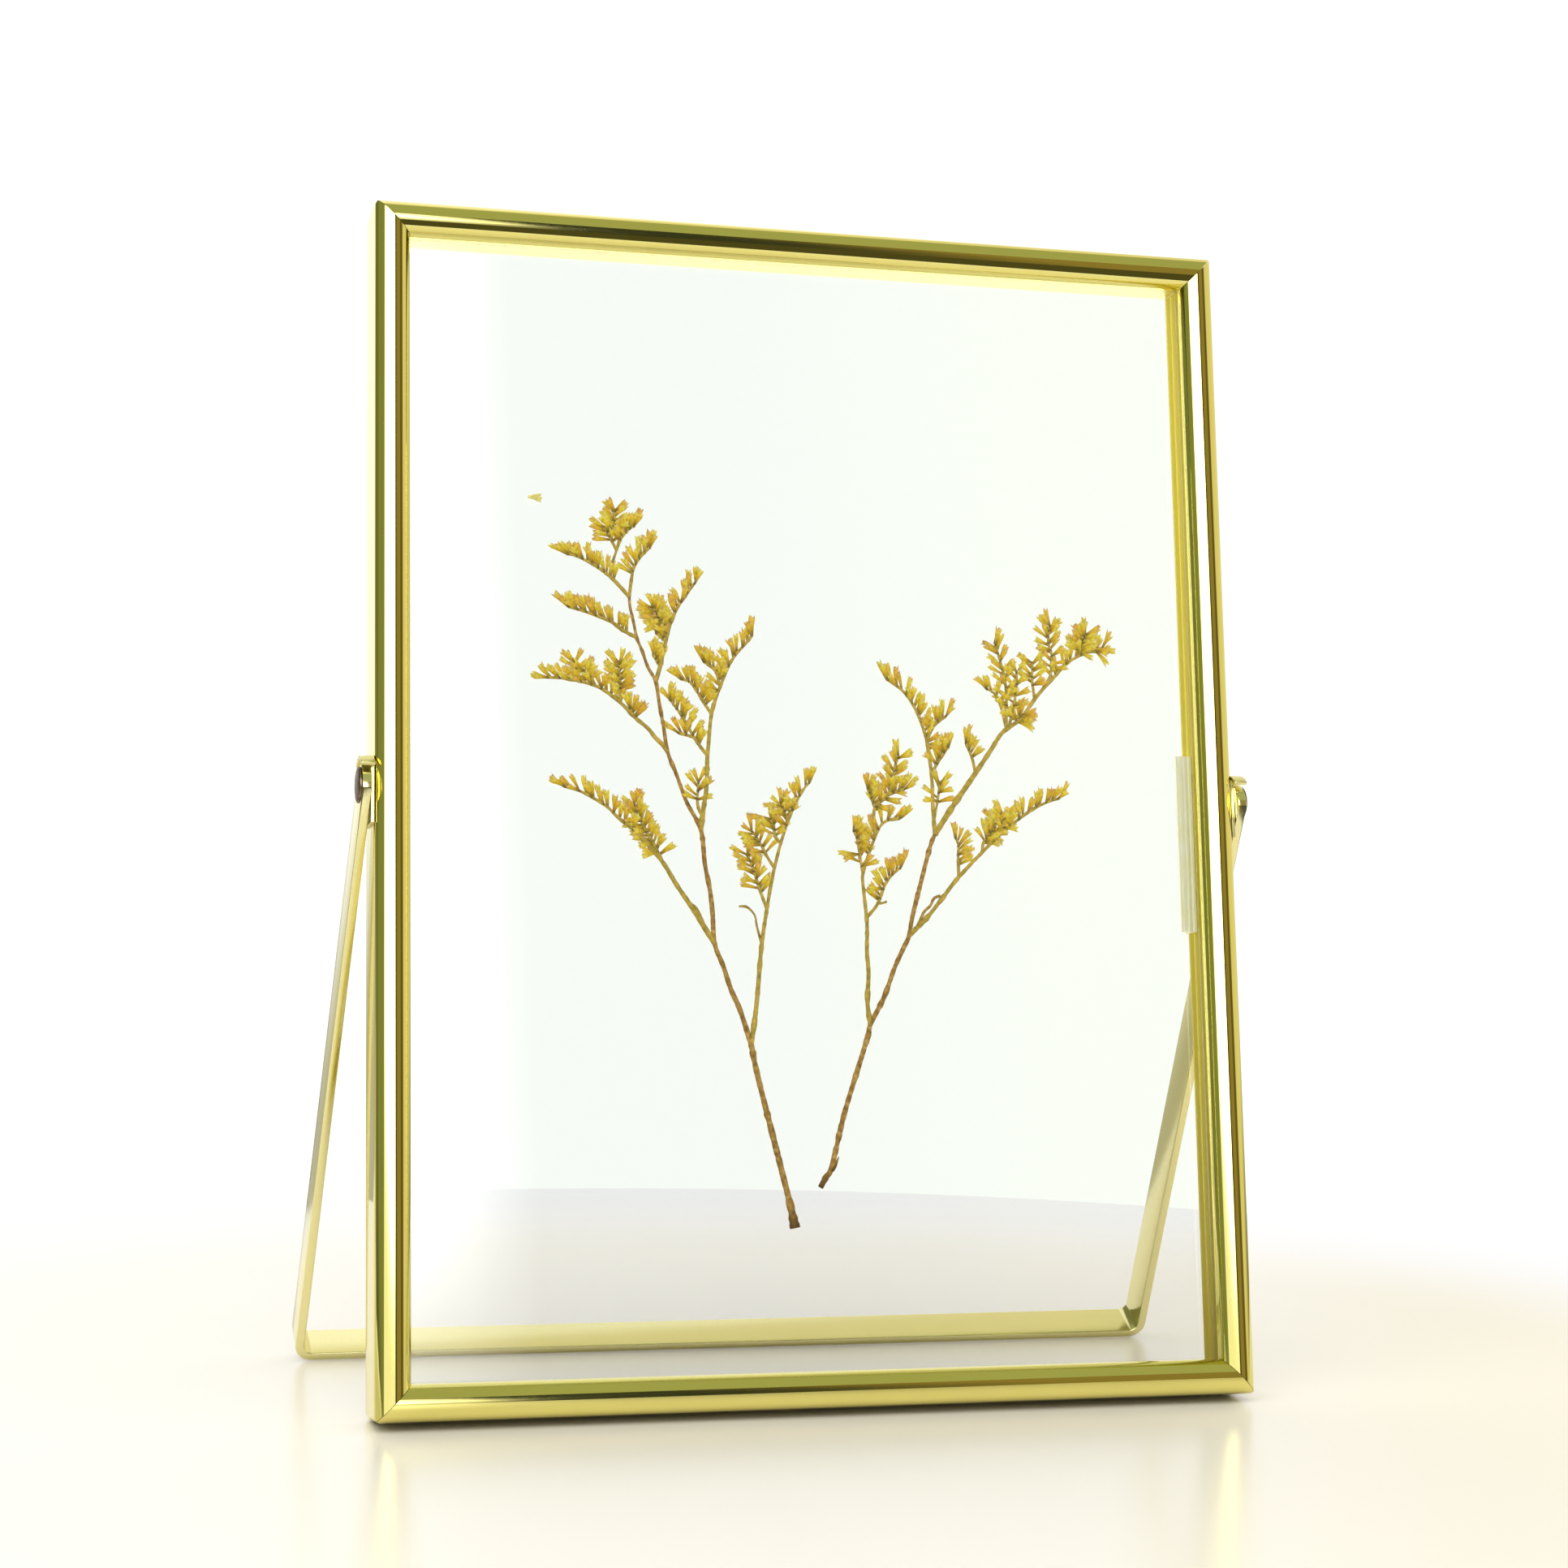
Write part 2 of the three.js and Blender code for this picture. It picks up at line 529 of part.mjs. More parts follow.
// A flat stalk along a route, wider by a margin all round when it clears space for a neighbour.
function stalk({ route, startWidth, endWidth }, margin = 0) {
  const curve = curveOf(route);
  const steps = Math.max(2, Math.round(curve.getLength() / ROUTE_STEP));
  const left = [];
  const right = [];
  for (let step = 0; step <= steps; step += 1) {
    const part = step / steps;
    const along = curve.getTangentAt(part);
    const across = new THREE.Vector3(-along.y, along.x, 0);
    const longer = margin * ((step === steps) - (step === 0));
    const middle = curve.getPointAt(part).addScaledVector(along, longer);
    const half = THREE.MathUtils.lerp(startWidth, endWidth, part) / 2 + margin;
    left.push(middle.clone().addScaledVector(across, half).toArray());
    right.push(middle.clone().addScaledVector(across, -half).toArray());
  }
  const half = SPRIG_THICKNESS / 2 + margin;
  return slab(outline([...right, ...left.reverse()]), SPRIG_MIDDLE - half, SPRIG_MIDDLE + half);
}

// A flat kite: narrow where it grows, widest towards its open end.
function floret([x, z], angle, length, margin = 0) {
  const width = FLORET_WIDTH / 2 + margin;
  const widest = FLORET_WIDEST * length;
  const local = [
    [-FLORET_ROOT - margin, 0], [widest, -width], [length + margin, 0], [widest, width],
  ];
  const cos = Math.cos(angle);
  const sin = Math.sin(angle);
  const points = local.map(([along, across]) => (
    [x + along * cos - across * sin, z + along * sin + across * cos]
  ));
  const half = SPRIG_THICKNESS / 2 + margin;
  return slab(outline(points), SPRIG_MIDDLE - half, SPRIG_MIDDLE + half);
}

// Places for the florets of one spray, each a point on its route and an angle to grow at.
function floretPlaces({ route, side, florets, from }) {
  const curve = curveOf(route);
  const places = [];
  for (let index = 0; index < florets; index += 1) {
    const share = florets > 1 ? index / (florets - 1) : 1;
    const part = THREE.MathUtils.lerp(from, LAST_FLORET, share);
    const point = curve.getPointAt(part);
    const along = curve.getTangentAt(part);
    const turn = side === 0 ? (index % 2) * 2 - 1 : side;
    const lean = THREE.MathUtils.lerp(FLORET_LEAN_FIRST, FLORET_LEAN_LAST, share);
    places.push({ point: [point.x, point.y], angle: Math.atan2(along.y, along.x) + turn * lean });
  }
  return places;
}

function stemSolid(twigs, margin = 0) {
  return joined(twigs.map((part) => stalk(part, margin)));
}

const meets = (solid, others) => others.some((other) => !solid.intersect(other).isEmpty());

// The pieces of both sprigs. Each is cut clear of the ones made before it, and a floret that
// would still meet a neighbour is made shorter, or left out where even that would touch.
function sprigs() {
  const group = new THREE.Group();
  const stems = [
    ['sprig_left_stem', LEFT_STEM],
    ['sprig_right_stem', RIGHT_STEM],
  ].flatMap(([name, parts]) => (
    Object.entries(parts).map(([part, twigs]) => ({ name: `${name}_${part}`, twigs }))
  ));
  const branches = [
    ['sprig_left_branch', LEFT_BRANCHES],
    ['sprig_right_branch', RIGHT_BRANCHES],
  ].flatMap(([name, parts]) => (
    Object.entries(parts).map(([part, twigs]) => ({ name: `${name}_${part}`, twigs: rooted(twigs) }))
  ));

  let taken = null;
  const cleared = (solid, twigs) => {
    const own = taken ? solid.subtract(taken) : solid;
    const room = stemSolid(twigs, GAP);
    taken = taken ? taken.add(room) : room;
    return own;
  };
  stems.forEach(({ name, twigs }) => {
    group.add(piece(name, cleared(stemSolid(twigs), twigs), DRIED_STEM));
  });
  branches.forEach((branch) => {
    branch.stalks = cleared(stemSolid(branch.twigs), branch.twigs);
    branch.room = [stemSolid(branch.twigs, GAP)];
  });

  const stemRoom = stems.map(({ twigs }) => stemSolid(twigs, GAP));
  branches.forEach((branch) => {
    const others = branches.filter((other) => other !== branch).flatMap((other) => other.room);
    const parts = [branch.stalks];
    branch.twigs.filter((part) => part.florets > 0).flatMap(floretPlaces).forEach((place) => {
      const lengths = [FLORET_LENGTH, FLORET_SHORTER * FLORET_LENGTH];
      const length = lengths.find((option) => (
        !meets(floret(place.point, place.angle, option), [...stemRoom, ...others])
      ));
      if (length) {
        parts.push(floret(place.point, place.angle, length));
        branch.room.push(floret(place.point, place.angle, length, GAP / 2));
      }
    });
    group.add(piece(branch.name, joined(parts), DRIED_FLOWER));
  });

  const loose = floret(LOOSE_FLORET, 0, LOOSE_FLORET_LENGTH);
  group.add(piece('loose_floret', loose, DRIED_FLOWER));
  return group;
}

// ---------------------------------------------------------------- the whole object

// The lean at which the rounded rear bottom edge and the bar's front lower edge share a floor.
function leanAngle() {
  const half = STRIP_WIDTH / 2;
  const barDepth = PIVOT_DEPTH + LEG_LENGTH * Math.sin(STAND_ANGLE) - half * Math.cos(STAND_ANGLE);
  const barHeight = PIVOT_HEIGHT - LEG_LENGTH * Math.cos(STAND_ANGLE) - half * Math.sin(STAND_ANGLE);
  const back = barDepth - (FRAME_DEPTH - REAR_EDGE_RADIUS);
  const up = barHeight - REAR_EDGE_RADIUS;
  const between = Math.hypot(back, up);
  return Math.atan2(up, back) + Math.asin(REAR_EDGE_RADIUS / between);
}

const assembly = new THREE.Group();
assembly.add(
  frameMembers(),
  pane('glass_front', FRONT_PANE_FACE),
  pane('glass_back', REAR_PANE_FACE),
  retainingClip(),
  hinge('left', -1),
  hinge('right', 1),
  stand(),
  sprigs(),
);
assembly.rotation.x = -leanAngle();

const part = new THREE.Group();
part.add(assembly);
part.updateMatrixWorld(true);
const box = new THREE.Box3().setFromObject(assembly, true);
assembly.position.set(0, -(box.min.y + box.max.y) / 2, -box.min.z);
part.updateMatrixWorld(true);

export default part;
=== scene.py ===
"""Finishes and fine shapes for a pressed flower frame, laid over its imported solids.

Two dried flower sprigs lie pressed between two panes in a slim plated brass frame that leans
back on a hinged strip stand. Lengths are metres. Pieces are drawn upright first, as X across,
depth from the front backwards and height above the bottom edge, and placed with the lean of
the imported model.
"""

import json
import math

import bmesh
import bpy
import numpy as np
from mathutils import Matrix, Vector


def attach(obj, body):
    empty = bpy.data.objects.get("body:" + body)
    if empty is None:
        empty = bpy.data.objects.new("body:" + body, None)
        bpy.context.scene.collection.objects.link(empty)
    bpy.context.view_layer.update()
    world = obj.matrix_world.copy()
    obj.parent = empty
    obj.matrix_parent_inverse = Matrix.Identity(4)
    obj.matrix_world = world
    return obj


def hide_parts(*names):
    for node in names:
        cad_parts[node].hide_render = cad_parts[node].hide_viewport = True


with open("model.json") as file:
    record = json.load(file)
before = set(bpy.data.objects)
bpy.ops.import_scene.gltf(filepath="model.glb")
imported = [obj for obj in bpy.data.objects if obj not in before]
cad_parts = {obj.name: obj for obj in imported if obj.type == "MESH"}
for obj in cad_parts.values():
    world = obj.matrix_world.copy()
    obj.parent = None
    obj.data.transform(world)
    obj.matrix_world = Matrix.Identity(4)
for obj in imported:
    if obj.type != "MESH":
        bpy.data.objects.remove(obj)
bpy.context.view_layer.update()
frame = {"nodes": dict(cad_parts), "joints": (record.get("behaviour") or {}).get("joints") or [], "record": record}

bl_info = {
    "name": "Pressed Flower Frame",
    "version": (1, 0, 0),
    "blender": (4, 5, 0),
    "location": "3D View > Sidebar > Flower Frame",
    "description": "Builds the fine pieces and finishes of a pressed flower frame",
    "category": "Object",
}

MM = 0.001
FRAME_BODY = "frame"
STAND_BODY = "stand"

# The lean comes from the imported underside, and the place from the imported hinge.
UNDERSIDE = Vector(frame["record"]["mounts"][0]["axis"])
UP = -UNDERSIDE
BACK = Vector((0, UP.z, -UP.y))
HINGE = Vector(frame["joints"][0]["pos_m"])


# ---------------------------------------------------------------- sizes and colours to set

def settable_length(name, millimetres, description):
    """A length that can be set."""
    return bpy.props.FloatProperty(
        name=name, description=description, default=millimetres * MM, unit="LENGTH")


class FlowerFrameSizes(bpy.types.PropertyGroup):
    """Sizes of the frame and its stand."""

    frame_width: settable_length("Frame width", 150, "Outer width of the frame")
    frame_height: settable_length("Frame height", 200, "Outer height of the frame")
    frame_depth: settable_length("Frame depth", 12, "Front of the bead to the back edge")
    bead_radius: settable_length("Bead radius", 3, "Half the width of a member, half round in front")
    wall_thickness: settable_length("Wall thickness", 5.2, "Outer face to inner face behind the lip")
    lip_back: settable_length("Lip back", 3.3, "Depth of the lip that keeps the front pane in")
    rear_edge_radius: settable_length("Rear edge radius", 0.6, "Rounding of the outer rear edge")
    corner_radius: settable_length("Corner radius", 1.4, "Rounding of the frame's four outer corners")
    seam: settable_length("Mitre seam", 0.05, "Half of the gap between two mitred members")
    pivot_depth: settable_length("Pivot depth", 3.8, "Hinge line behind the front of the bead")
    pivot_height: settable_length("Pivot height", 101.67, "Hinge line above the bottom edge")
    strip_width: settable_length("Strip width", 7, "Width of the stand's strip")
    strip_thickness: settable_length("Strip thickness", 1.5, "Thickness of the stand's strip")
    leg_length: settable_length("Leg length", 112.1, "Hinge line to the underside of the bar")
    stand_angle: bpy.props.FloatProperty(
        name="Stand angle", description="How far the stand is swung out from the frame",
        default=math.radians(34.94), subtype="ANGLE")


class FlowerFrameFinishes(bpy.types.PropertyGroup):
    """Colours of the finishes, as linear values."""

    brass: bpy.props.FloatVectorProperty(
        name="Plated brass", description="Bright plating on the members",
        default=(0.86, 0.77, 0.25), subtype="COLOR", min=0, max=1)
    pale_brass: bpy.props.FloatVectorProperty(
        name="Pale brass", description="Lighter plating on the stand and brackets",
        default=(0.90, 0.83, 0.42), subtype="COLOR", min=0, max=1)
    inner_brass: bpy.props.FloatVectorProperty(
        name="Inner brass", description="Lacquered brass inside the channel of the members",
        default=(0.84, 0.68, 0.012), subtype="COLOR", min=0, max=1)


class FlowerFrameStage(bpy.types.PropertyGroup):
    """Light and camera."""

    surround: bpy.props.FloatProperty(
        name="Surround", description="Strength of the room that shiny surfaces mirror",
        default=1.15, min=0)
    soft_light: bpy.props.FloatProperty(
        name="Soft light", description="Strength of the even light on the object",
        default=1.85, min=0)
    lens: bpy.props.FloatProperty(
        name="Lens", description="Focal length of the camera in millimetres", default=70.55, min=1)


# ---------------------------------------------------------------- places and meshes

def place(across, depth, height):
    """Points of the upright drawing as points of the leaning model: X stays, depth goes along
    the direction square to the panes, and height along their face."""
    sizes = bpy.context.scene.flower_frame_sizes
    across, depth, height = np.broadcast_arrays(across, depth, height)
    rise = (height - sizes.pivot_height)[..., None] * np.array(UP)
    sink = (depth - sizes.pivot_depth)[..., None] * np.array(BACK)
    points = np.array(HINGE) + rise + sink
    points[..., 0] += across
    return points


def place_on_stand(across, breadth, along):
    """Points of the stand, drawn hanging straight down from its hinge line, swung back by the
    stand's angle and then placed like the frame."""
    sizes = bpy.context.scene.flower_frame_sizes
    cos, sin = math.cos(sizes.stand_angle), math.sin(sizes.stand_angle)
    depth = sizes.pivot_depth + breadth * cos - along * sin
    height = sizes.pivot_height + breadth * sin + along * cos
    return place(across, depth, height)


def grid_faces(rows, columns, first=0):
    """The quads of a grid of points, rows by columns, closed round its columns."""
    row, column = np.meshgrid(np.arange(rows - 1), np.arange(columns), indexing="ij")
    after = (column + 1) % columns
    corners = [row * columns + column, row * columns + after,
               (row + 1) * columns + after, (row + 1) * columns + column]
    return np.stack(corners, axis=-1).reshape(-1, 4) + first


def tube_faces(rows, columns, first=0):
    """The quads of a closed tube with a flat cap at each end."""
    ring = np.arange(columns) + first
    quads = grid_faces(rows, columns, first).tolist()
    return quads + [ring[::-1].tolist(), (ring + (rows - 1) * columns).tolist()]


def new_piece(name, points, faces, finishes, body, stands_for, sharp=35):
    """A closed piece from points and faces, with its faces turned outwards and its edges sharp
    past the given angle."""
    mesh = bpy.data.meshes.new(name)
    mesh.from_pydata(np.asarray(points).reshape(-1, 3).tolist(), [], faces)
    piece = bpy.data.objects.new(name, mesh)
    bpy.context.scene.collection.objects.link(piece)
    for finish in finishes:
        mesh.materials.append(finish)
    finish_mesh(mesh, sharp)
    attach(piece, body)
    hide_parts(*stands_for)
    return piece


def finish_mesh(mesh, sharp):
    """Turns faces outwards and shades them smooth up to the sharp angle."""
    shell = bmesh.new()
    shell.from_mesh(mesh)
    bmesh.ops.recalc_face_normals(shell, faces=shell.faces)
    shell.to_mesh(mesh)
    shell.free()
    mesh.polygons.foreach_set("use_smooth", np.ones(len(mesh.polygons), bool))
    mesh.set_sharp_from_angle(angle=math.radians(sharp))
    mesh.update()


def add_values(piece, name, values):
    """A number for each vertex, which a material can read by name."""
    attribute = piece.data.attributes.new(name, "FLOAT", "POINT")
    attribute.data.foreach_set("value", np.asarray(values, np.float32).ravel())


def soften(piece, width, past=30):
    """Rounds the edges of a piece that turn by more than an angle."""
    edge = piece.modifiers.new("soft edges", "BEVEL")
    edge.width = width
    edge.segments = 2
    edge.limit_method = "ANGLE"
    edge.angle_limit = math.radians(past)


# ---------------------------------------------------------------- materials

def linear(colour):
    """An sRGB hex colour such as #c9b450 as linear red, green, blue and full alpha."""
    parts = [int(colour[index:index + 2], 16) / 255 for index in (1, 3, 5)]
    curve = [part / 12.92 if part <= 0.04045 else ((part + 0.055) / 1.055) ** 2.4
             for part in parts]
    return (*curve, 1)


def add_node(tree, kind, inputs=None, **settings):
    """Adds a shader node with its inputs, each a value or a socket to link from, and its
    settings."""
    made = tree.nodes.new(f"ShaderNode{kind}")
    for name, value in settings.items():
        setattr(made, name, value)
    for key, value in (inputs or {}).items():
        if isinstance(value, bpy.types.NodeSocket):
            tree.links.new(value, made.inputs[key])
        else:
            made.inputs[key].default_value = value
    return made


def set_stops(ramp, stops):
    """Fills a colour ramp with stops of place and linear colour."""
    elements = ramp.color_ramp.elements
    while len(elements) > 1:
        elements.remove(elements[-1])
    elements[0].position, elements[0].color = stops[0]
    for position, colour in stops[1:]:
        elements.new(position).color = colour


def new_material(name):
    """An empty material with its tree, the object's own coordinates and the output node."""
    material = bpy.data.materials.new(name)
    material.use_nodes = True
    tree = material.node_tree
    tree.nodes.clear()
    output = add_node(tree, "OutputMaterial")
    return material, tree, add_node(tree, "TexCoord").outputs["Object"], output


def brass_plating(name, colour, deeper, roughness, wave):
    """Brass, rolled to shape and bright plated. The plating mirrors the room in long bands,
    which waver a little because the thin sheet isn't quite flat."""
    material, tree, place_in, output = new_material(name)
    cloud = add_node(tree, "TexNoise", {"Vector": place_in, "Scale": 1 / (9 * MM), "Detail": 3.0})
    tone = add_node(tree, "Mix", {
        "Factor": cloud.outputs["Fac"], 6: (*colour, 1), 7: (*deeper, 1)}, data_type="RGBA")
    grit = add_node(tree, "TexNoise", {"Vector": place_in, "Scale": 1 / (0.7 * MM), "Detail": 4.0})
    rough = add_node(tree, "MapRange", {
        "Value": grit.outputs["Fac"], "From Min": 0.35, "From Max": 0.75, "To Min": roughness,
        "To Max": roughness * 1.5})
    waver = add_node(tree, "TexNoise", {"Vector": place_in, "Scale": 1 / (14 * MM), "Detail": 1.0})
    sheet = add_node(tree, "Bump", {
        "Height": waver.outputs["Fac"], "Strength": wave, "Distance": 0.2 * MM})
    pit = add_node(tree, "Bump", {
        "Height": grit.outputs["Fac"], "Strength": 0.01, "Distance": 0.01 * MM,
        "Normal": sheet.outputs["Normal"]})
    metal = add_node(tree, "BsdfPrincipled", {
        "Base Color": tone.outputs[2], "Metallic": 1.0, "Roughness": rough.outputs["Result"],
        "Normal": pit.outputs["Normal"]})
    tree.links.new(metal.outputs["BSDF"], output.inputs["Surface"])
    return material


def dark_rivet_steel():
    """Carbon steel, cold headed and blackened, which leaves a dull dark brown head."""
    material, tree, place_in, output = new_material("blackened_steel_headed")
    wear = add_node(tree, "TexNoise", {"Vector": place_in, "Scale": 1 / (1.1 * MM), "Detail": 4.0})
    tone = add_node(tree, "ValToRGB", {"Fac": wear.outputs["Fac"]})
    set_stops(tone, [(0.35, linear("#5c4a3c")), (0.75, linear("#9b8570"))])
    metal = add_node(tree, "BsdfPrincipled", {
        "Base Color": tone.outputs["Color"], "Metallic": 1.0, "Roughness": 0.38})
    tree.links.new(metal.outputs["BSDF"], output.inputs["Surface"])
    return material


def float_glass():
    """Soda-lime float glass. It is clear, with a faint green that shows where light runs a long
    way through it."""
    material, tree, place_in, output = new_material("float_glass_clear")
    ripple = add_node(tree, "TexNoise", {"Vector": place_in, "Scale": 1 / (60 * MM), "Detail": 0.0})
    draw = add_node(tree, "Bump", {
        "Height": ripple.outputs["Fac"], "Strength": 0.02, "Distance": 0.05 * MM})
    glass = add_node(tree, "BsdfPrincipled", {
        "Base Color": (1, 1, 1, 1), "Roughness": 0.0, "IOR": 1.5, "Transmission Weight": 1.0,
        "Normal": draw.outputs["Normal"]})
    tint = add_node(tree, "VolumeAbsorption", {"Color": linear("#c8dcc6"), "Density": 26.0})
    tree.links.new(glass.outputs["BSDF"], output.inputs["Surface"])
    tree.links.new(tint.outputs["Volume"], output.inputs["Volume"])
    return material


def frosted_strip():
    """Polypropylene, extruded, which leaves fine lines along it and a milky body that passes on
    a little of the light from behind. A faint even glow on top is painted light, lifting the strip out of its
    shade."""
    material, tree, place_in, output = new_material("polypropylene_extruded_frosted")
    stretched = add_node(tree, "Mapping", {"Vector": place_in, "Scale": (1, 1, 0.03)})
    lines = add_node(tree, "TexNoise", {
        "Vector": stretched.outputs["Vector"], "Scale": 1 / (0.5 * MM), "Detail": 2.0})
    tone = add_node(tree, "ValToRGB", {"Fac": lines.outputs["Fac"]})
    set_stops(tone, [(0.35, linear("#f3f2d2")), (0.65, linear("#ffffff"))])
    relief = add_node(tree, "Bump", {
        "Height": lines.outputs["Fac"], "Strength": 0.15, "Distance": 0.03 * MM})
    # The emission is painted light, a glow that brightens the strip in the shade behind the panes.
    plastic = add_node(tree, "BsdfPrincipled", {
        "Base Color": tone.outputs["Color"], "Roughness": 0.5, "IOR": 1.49,
        "Transmission Weight": 0.1, "Normal": relief.outputs["Normal"],
        "Emission Color": linear("#e6e8c0"), "Emission Strength": 0.3})
    tree.links.new(plastic.outputs["BSDF"], output.inputs["Surface"])
    return material


def dried_stem_bark():
    """Flower stem, air dried and pressed. It is golden brown with fine lengthwise fibres, turns
    olive along the thin twigs that carry the florets, and is dark where it was cut."""
    material, tree, place_in, output = new_material("dried_stem_pressed")
    fibre = add_node(tree, "TexNoise", {"Vector": place_in, "Scale": 1 / (0.9 * MM), "Detail": 4.0})
    brown = add_node(tree, "ValToRGB", {"Fac": fibre.outputs["Fac"]})
    set_stops(brown, [(0.3, linear("#86621e")), (0.5, linear("#b48a3a")), (0.72, linear("#dcb866"))])
    olive = add_node(tree, "ValToRGB", {"Fac": fibre.outputs["Fac"]})
    set_stops(olive, [(0.3, linear("#a08c2c")), (0.7, linear("#e0c050"))])
    youth = add_node(tree, "Attribute", attribute_name="youth")
    tone = add_node(tree, "Mix", {
        "Factor": youth.outputs["Fac"], 6: brown.outputs["Color"],
        7: olive.outputs["Color"]}, data_type="RGBA")
    cut = add_node(tree, "Attribute", attribute_name="cut")
    darkened = add_node(tree, "Mix", {
        "Factor": cut.outputs["Fac"], 6: tone.outputs[2], 7: linear("#6a4a12")}, data_type="RGBA")
    relief = add_node(tree, "Bump", {
        "Height": fibre.outputs["Fac"], "Strength": 0.5, "Distance": 0.08 * MM})
    bark = add_node(tree, "BsdfPrincipled", {
        "Base Color": darkened.outputs[2], "Roughness": 0.7, "Normal": relief.outputs["Normal"]})
    tree.links.new(bark.outputs["BSDF"], output.inputs["Surface"])
    return material


def dried_floret_petal():
    """Florets, air dried and pressed. Each runs from an olive brown foot to a dry yellow mouth,
    and a few are older and have gone orange at the rim."""
    material, tree, place_in, output = new_material("dried_floret_pressed")
    tone = add_node(tree, "Attribute", attribute_name="tone")
    age = add_node(tree, "Attribute", attribute_name="age")
    fresh = add_node(tree, "ValToRGB", {"Fac": tone.outputs["Fac"]})
    set_stops(fresh, [(0.0, linear("#6e6420")), (0.2, linear("#ab9328")), (0.45, linear("#edcb22")),
                      (0.85, linear("#ffe94a")), (1.0, linear("#fff18c"))])
    old = add_node(tree, "ValToRGB", {"Fac": tone.outputs["Fac"]})
    set_stops(old, [(0.0, linear("#7d6222")), (0.3, linear("#c89a26")), (0.65, linear("#f6c426")),
                    (0.9, linear("#fbc04e")), (1.0, linear("#cc9c80"))])
    mixed = add_node(tree, "Mix", {
        "Factor": age.outputs["Fac"], 6: fresh.outputs["Color"],
        7: old.outputs["Color"]}, data_type="RGBA")
    veins = add_node(tree, "TexNoise", {"Vector": place_in, "Scale": 1 / (0.45 * MM), "Detail": 3.0})
    shade = add_node(tree, "MapRange", {
        "Value": veins.outputs["Fac"], "From Min": 0.3, "From Max": 0.7, "To Min": 0.72,
        "To Max": 1.14})
    colour = add_node(tree, "Mix", {
        "Factor": 1.0, 6: mixed.outputs[2],
        7: shade.outputs["Result"]}, data_type="RGBA", blend_type="MULTIPLY")
    relief = add_node(tree, "Bump", {
        "Height": veins.outputs["Fac"], "Strength": 0.5, "Distance": 0.1 * MM})
    petal = add_node(tree, "BsdfPrincipled", {
        "Base Color": colour.outputs[2], "Roughness": 0.75, "Subsurface Weight": 0.15,
        "Subsurface Scale": 0.4 * MM, "Normal": relief.outputs["Normal"]})
    tree.links.new(petal.outputs["BSDF"], output.inputs["Surface"])
    return material


def pale_tabletop():
    """Painted board, sprayed satin white. It stays quiet and fades to plain white at its rim."""
    material, tree, place_in, output = new_material("painted_board_satin_white")
    distance = add_node(tree, "VectorMath", {0: place_in}, operation="LENGTH")
    far = add_node(tree, "MapRange", {
        "Value": distance.outputs["Value"], "From Min": FLOOR_FADE[0],
        "From Max": FLOOR_FADE[1]}, interpolation_type="SMOOTHSTEP")
    paint = add_node(tree, "BsdfPrincipled", {"Base Color": linear("#b9b6ad"), "Roughness": 0.25})
    plain = add_node(tree, "Emission", {"Color": (1, 1, 1, 1), "Strength": 1.0})
    blend = add_node(tree, "MixShader", {
        0: far.outputs["Result"], 1: paint.outputs["BSDF"], 2: plain.outputs["Emission"]})
    tree.links.new(blend.outputs["Shader"], output.inputs["Surface"])
    return material


def material_of(name, build):
    """The named material, made on first use."""
    return bpy.data.materials.get(name) or build()


def bright_brass():
    """The members' finish."""
    colour = bpy.context.scene.flower_frame_finishes.brass
    return material_of("brass_bright_plated", lambda: brass_plating(
        "brass_bright_plated", colour, [part * 0.93 for part in colour], 0.045, 0.05))


def lacquered_channel_brass():
    """Brass, rolled and lacquered, a dull deep yellow inside the channel beside the panes. Its colour
    is painted darker towards the bottom, a painted shade for the dimmer room that the lower part mirrors."""
    material, tree, place_in, output = new_material("brass_rolled_lacquered")
    parts = add_node(tree, "SeparateXYZ", {0: place_in})
    # Painted shade: the colour darkens from the top of the frame down to its bottom edge.
    tall = bpy.context.scene.flower_frame_sizes.frame_height
    rise = add_node(tree, "MapRange", {"Value": parts.outputs["Z"], "From Min": 0.0, "From Max": tall})
    streaks = add_node(tree, "Mapping", {"Vector": place_in, "Scale": (1, 1, 0.04)})
    grain = add_node(tree, "TexNoise", {
        "Vector": streaks.outputs["Vector"], "Scale": 1 / (1.5 * MM), "Detail": 2.0})
    grain_and_painted_shade = add_node(tree, "Math", {
        0: grain.outputs["Fac"], 1: 0.03, 2: rise.outputs["Result"]}, operation="MULTIPLY_ADD")
    tone = add_node(tree, "ValToRGB", {"Fac": grain_and_painted_shade.outputs[0]})
    yellow = np.array(bpy.context.scene.flower_frame_finishes.inner_brass)
    set_stops(tone, [(0.0, (*yellow * 0.5, 1)), (0.5, (*yellow * 0.9, 1)), (1.0, (*yellow, 1))])
    metal = add_node(tree, "BsdfPrincipled", {
        "Base Color": tone.outputs["Color"], "Metallic": 0.35, "Roughness": 0.45,
        "Specular IOR Level": 0.2})
    tree.links.new(metal.outputs["BSDF"], output.inputs["Surface"])
    return material


def inner_brass():
    """The finish of the channel in which the panes lie, a deeper yellow than the outside."""
    return material_of("brass_rolled_lacquered", lacquered_channel_brass)


def light_brass():
    """The finish of the stand."""
    colour = bpy.context.scene.flower_frame_finishes.pale_brass
    return material_of("brass_pale_plated", lambda: brass_plating(
        "brass_pale_plated", colour, [part * 0.95 for part in colour], 0.13, 0.04))


def satin_brass():
    """The finish of the hinge brackets and the top channel, duller than the stand."""
    colour = bpy.context.scene.flower_frame_finishes.pale_brass
    return material_of("brass_satin_plated", lambda: brass_plating(
        "brass_satin_plated", colour, [part * 0.9 for part in colour], 0.28, 0.03))


# ---------------------------------------------------------------- frame members

BEAD_STEPS = 48
REAR_STEPS = 6
MEMBER_EDGE = 0.08 * MM


